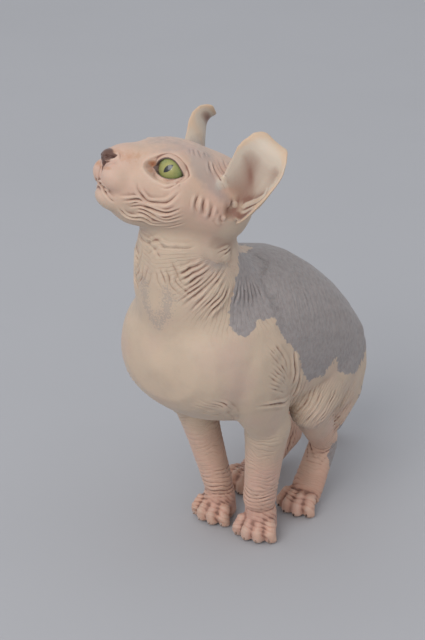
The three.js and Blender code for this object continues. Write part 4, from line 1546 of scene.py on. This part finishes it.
class CAT_OT_skin(bpy.types.Operator):
    """Draws one skin over all the flesh solids"""

    bl_idname = "cat.skin"
    bl_label = "Skin"

    def execute(self, context):
        make_skin(context.scene.cat_skin)
        return {"FINISHED"}


class CAT_OT_eyes(bpy.types.Operator):
    """Makes both eyeballs"""

    bl_idname = "cat.eyes"
    bl_label = "Eyes"

    def execute(self, context):
        material = eye_material(context.scene.cat_eyes)
        for side in SIDES:
            make_eye(side, material)
        return {"FINISHED"}


class CAT_OT_claws(bpy.types.Operator):
    """Gives the claws their horn"""

    bl_idname = "cat.claws"
    bl_label = "Claws"

    def execute(self, context):
        settings = context.scene.cat_claws
        fore = claw_material("pale_claw_horn", settings.pale, settings.light)
        # The hind claws near black: the dark mark at the tips of the hind toes
        hind = claw_material("near_black_hind_claw", settings.dark, settings.light)
        for name in CLAWS:
            NODES[name].material_slots[0].material = fore if "fore" in name else hind
        return {"FINISHED"}


# The stage


def add_camera():
    """The camera at the photograph's angle"""
    right, up, back = camera_basis()
    data = bpy.data.cameras.new("camera")
    data.sensor_width = 36
    data.lens = PIXELS_PER_MM * CAMERA_DISTANCE * data.sensor_width / max(IMAGE)
    data.clip_start = 0.05
    data.clip_end = 50
    camera = bpy.data.objects.new("camera", data)
    bpy.context.scene.collection.objects.link(camera)
    place = (Vector(CAMERA_TARGET) + back * CAMERA_DISTANCE + SHIFT) * MM
    camera.matrix_world = Matrix.Translation(place) @ Matrix((right, up, back)).transposed().to_4x4()
    bpy.context.scene.camera = camera


# The key light: its azimuth and elevation in degrees, its distance and its size in metres. Then how high
# lights aim, and the colour of the light all round
KEY_LIGHT = (12, 37, 4.6, 2.6)
LIGHT_AIM = 0.15
ROOM_COLOUR = "#EEF1F6"


def add_light(name, azimuth, elevation, distance, size, power):
    """A large square light that faces the cat"""
    data = bpy.data.lights.new(name, "AREA")
    data.size = size
    data.energy = power
    light = bpy.data.objects.new(name, data)
    bpy.context.scene.collection.objects.link(light)
    way = way_to(azimuth, elevation)
    light.location = way * distance + Vector((0, 0, LIGHT_AIM))
    light.rotation_euler = way.to_track_quat("Z", "Y").to_euler()


def add_floor(settings):
    # Matt studio paper: pale, with a faint unevenness
    bm = bmesh.new()
    bmesh.ops.create_grid(bm, x_segments=8, y_segments=8, size=6)
    floor = mesh_object("floor", bm)
    material, tree, shader = new_material("studio_paper")
    place = add(tree, "TexCoord", output="Object")
    cloud = add(tree, "TexNoise", {"Vector": place, "Scale": per_mm(260), "Detail": 3})
    darker = [channel * 0.94 for channel in settings.floor[:3]] + [1]
    colour = layered(tree, settings.floor, ((cloud, 0, 1, 1, darker),))
    rough = add(tree, "MapRange", {"Value": cloud, "To Min": 0.8, "To Max": 0.95})
    give(tree, shader, {"Base Color": colour, "Roughness": rough})
    floor.data.materials.append(material)


class CAT_OT_stage(bpy.types.Operator):
    """Sets out the pale floor, the soft lights and the camera"""

    bl_idname = "cat.stage"
    bl_label = "Stage"

    def execute(self, context):
        settings = context.scene.cat_stage
        add_floor(settings)
        world = bpy.data.worlds.new("soft_room")
        world.use_nodes = True
        light_all_round = {"Color": linear(ROOM_COLOUR), "Strength": settings.room}
        give(world.node_tree, world.node_tree.nodes["Background"], light_all_round)
        context.scene.world = world
        add_light("key", *KEY_LIGHT, settings.key)
        add_camera()
        context.scene.view_settings.view_transform = "Standard"
        return {"FINISHED"}


class CAT_PT_panel(bpy.types.Panel):
    """The pieces of the cat and their settings"""

    bl_idname = "CAT_PT_panel"
    bl_label = "Hairless Cat"
    bl_space_type = "VIEW_3D"
    bl_region_type = "UI"
    bl_category = "Hairless Cat"

    def draw(self, context):
        for operator, group in GROUPS.items():
            box = self.layout.box()
            box.operator(operator)
            settings = getattr(context.scene, group)
            for name in settings.__annotations__:
                box.prop(settings, name)


# Each operator and the name of its settings on the scene
GROUPS = {"cat.stage": "cat_stage", "cat.skin": "cat_skin", "cat.eyes": "cat_eyes", "cat.claws": "cat_claws"}
SETTINGS = {
    "cat_stage": StageSettings, "cat_skin": SkinSettings, "cat_eyes": EyeSettings, "cat_claws": ClawSettings,
}
CLASSES = (*SETTINGS.values(), CAT_OT_stage, CAT_OT_skin, CAT_OT_eyes, CAT_OT_claws, CAT_PT_panel)


def register():
    for made in CLASSES:
        bpy.utils.register_class(made)
    for name, group in SETTINGS.items():
        setattr(bpy.types.Scene, name, bpy.props.PointerProperty(type=group))


def unregister():
    for name in SETTINGS:
        delattr(bpy.types.Scene, name)
    for made in reversed(CLASSES):
        bpy.utils.unregister_class(made)


def main():
    register()
    bpy.ops.cat.stage()
    bpy.ops.cat.skin()
    bpy.ops.cat.eyes()
    bpy.ops.cat.claws()


if __name__ == "__main__":
    main()
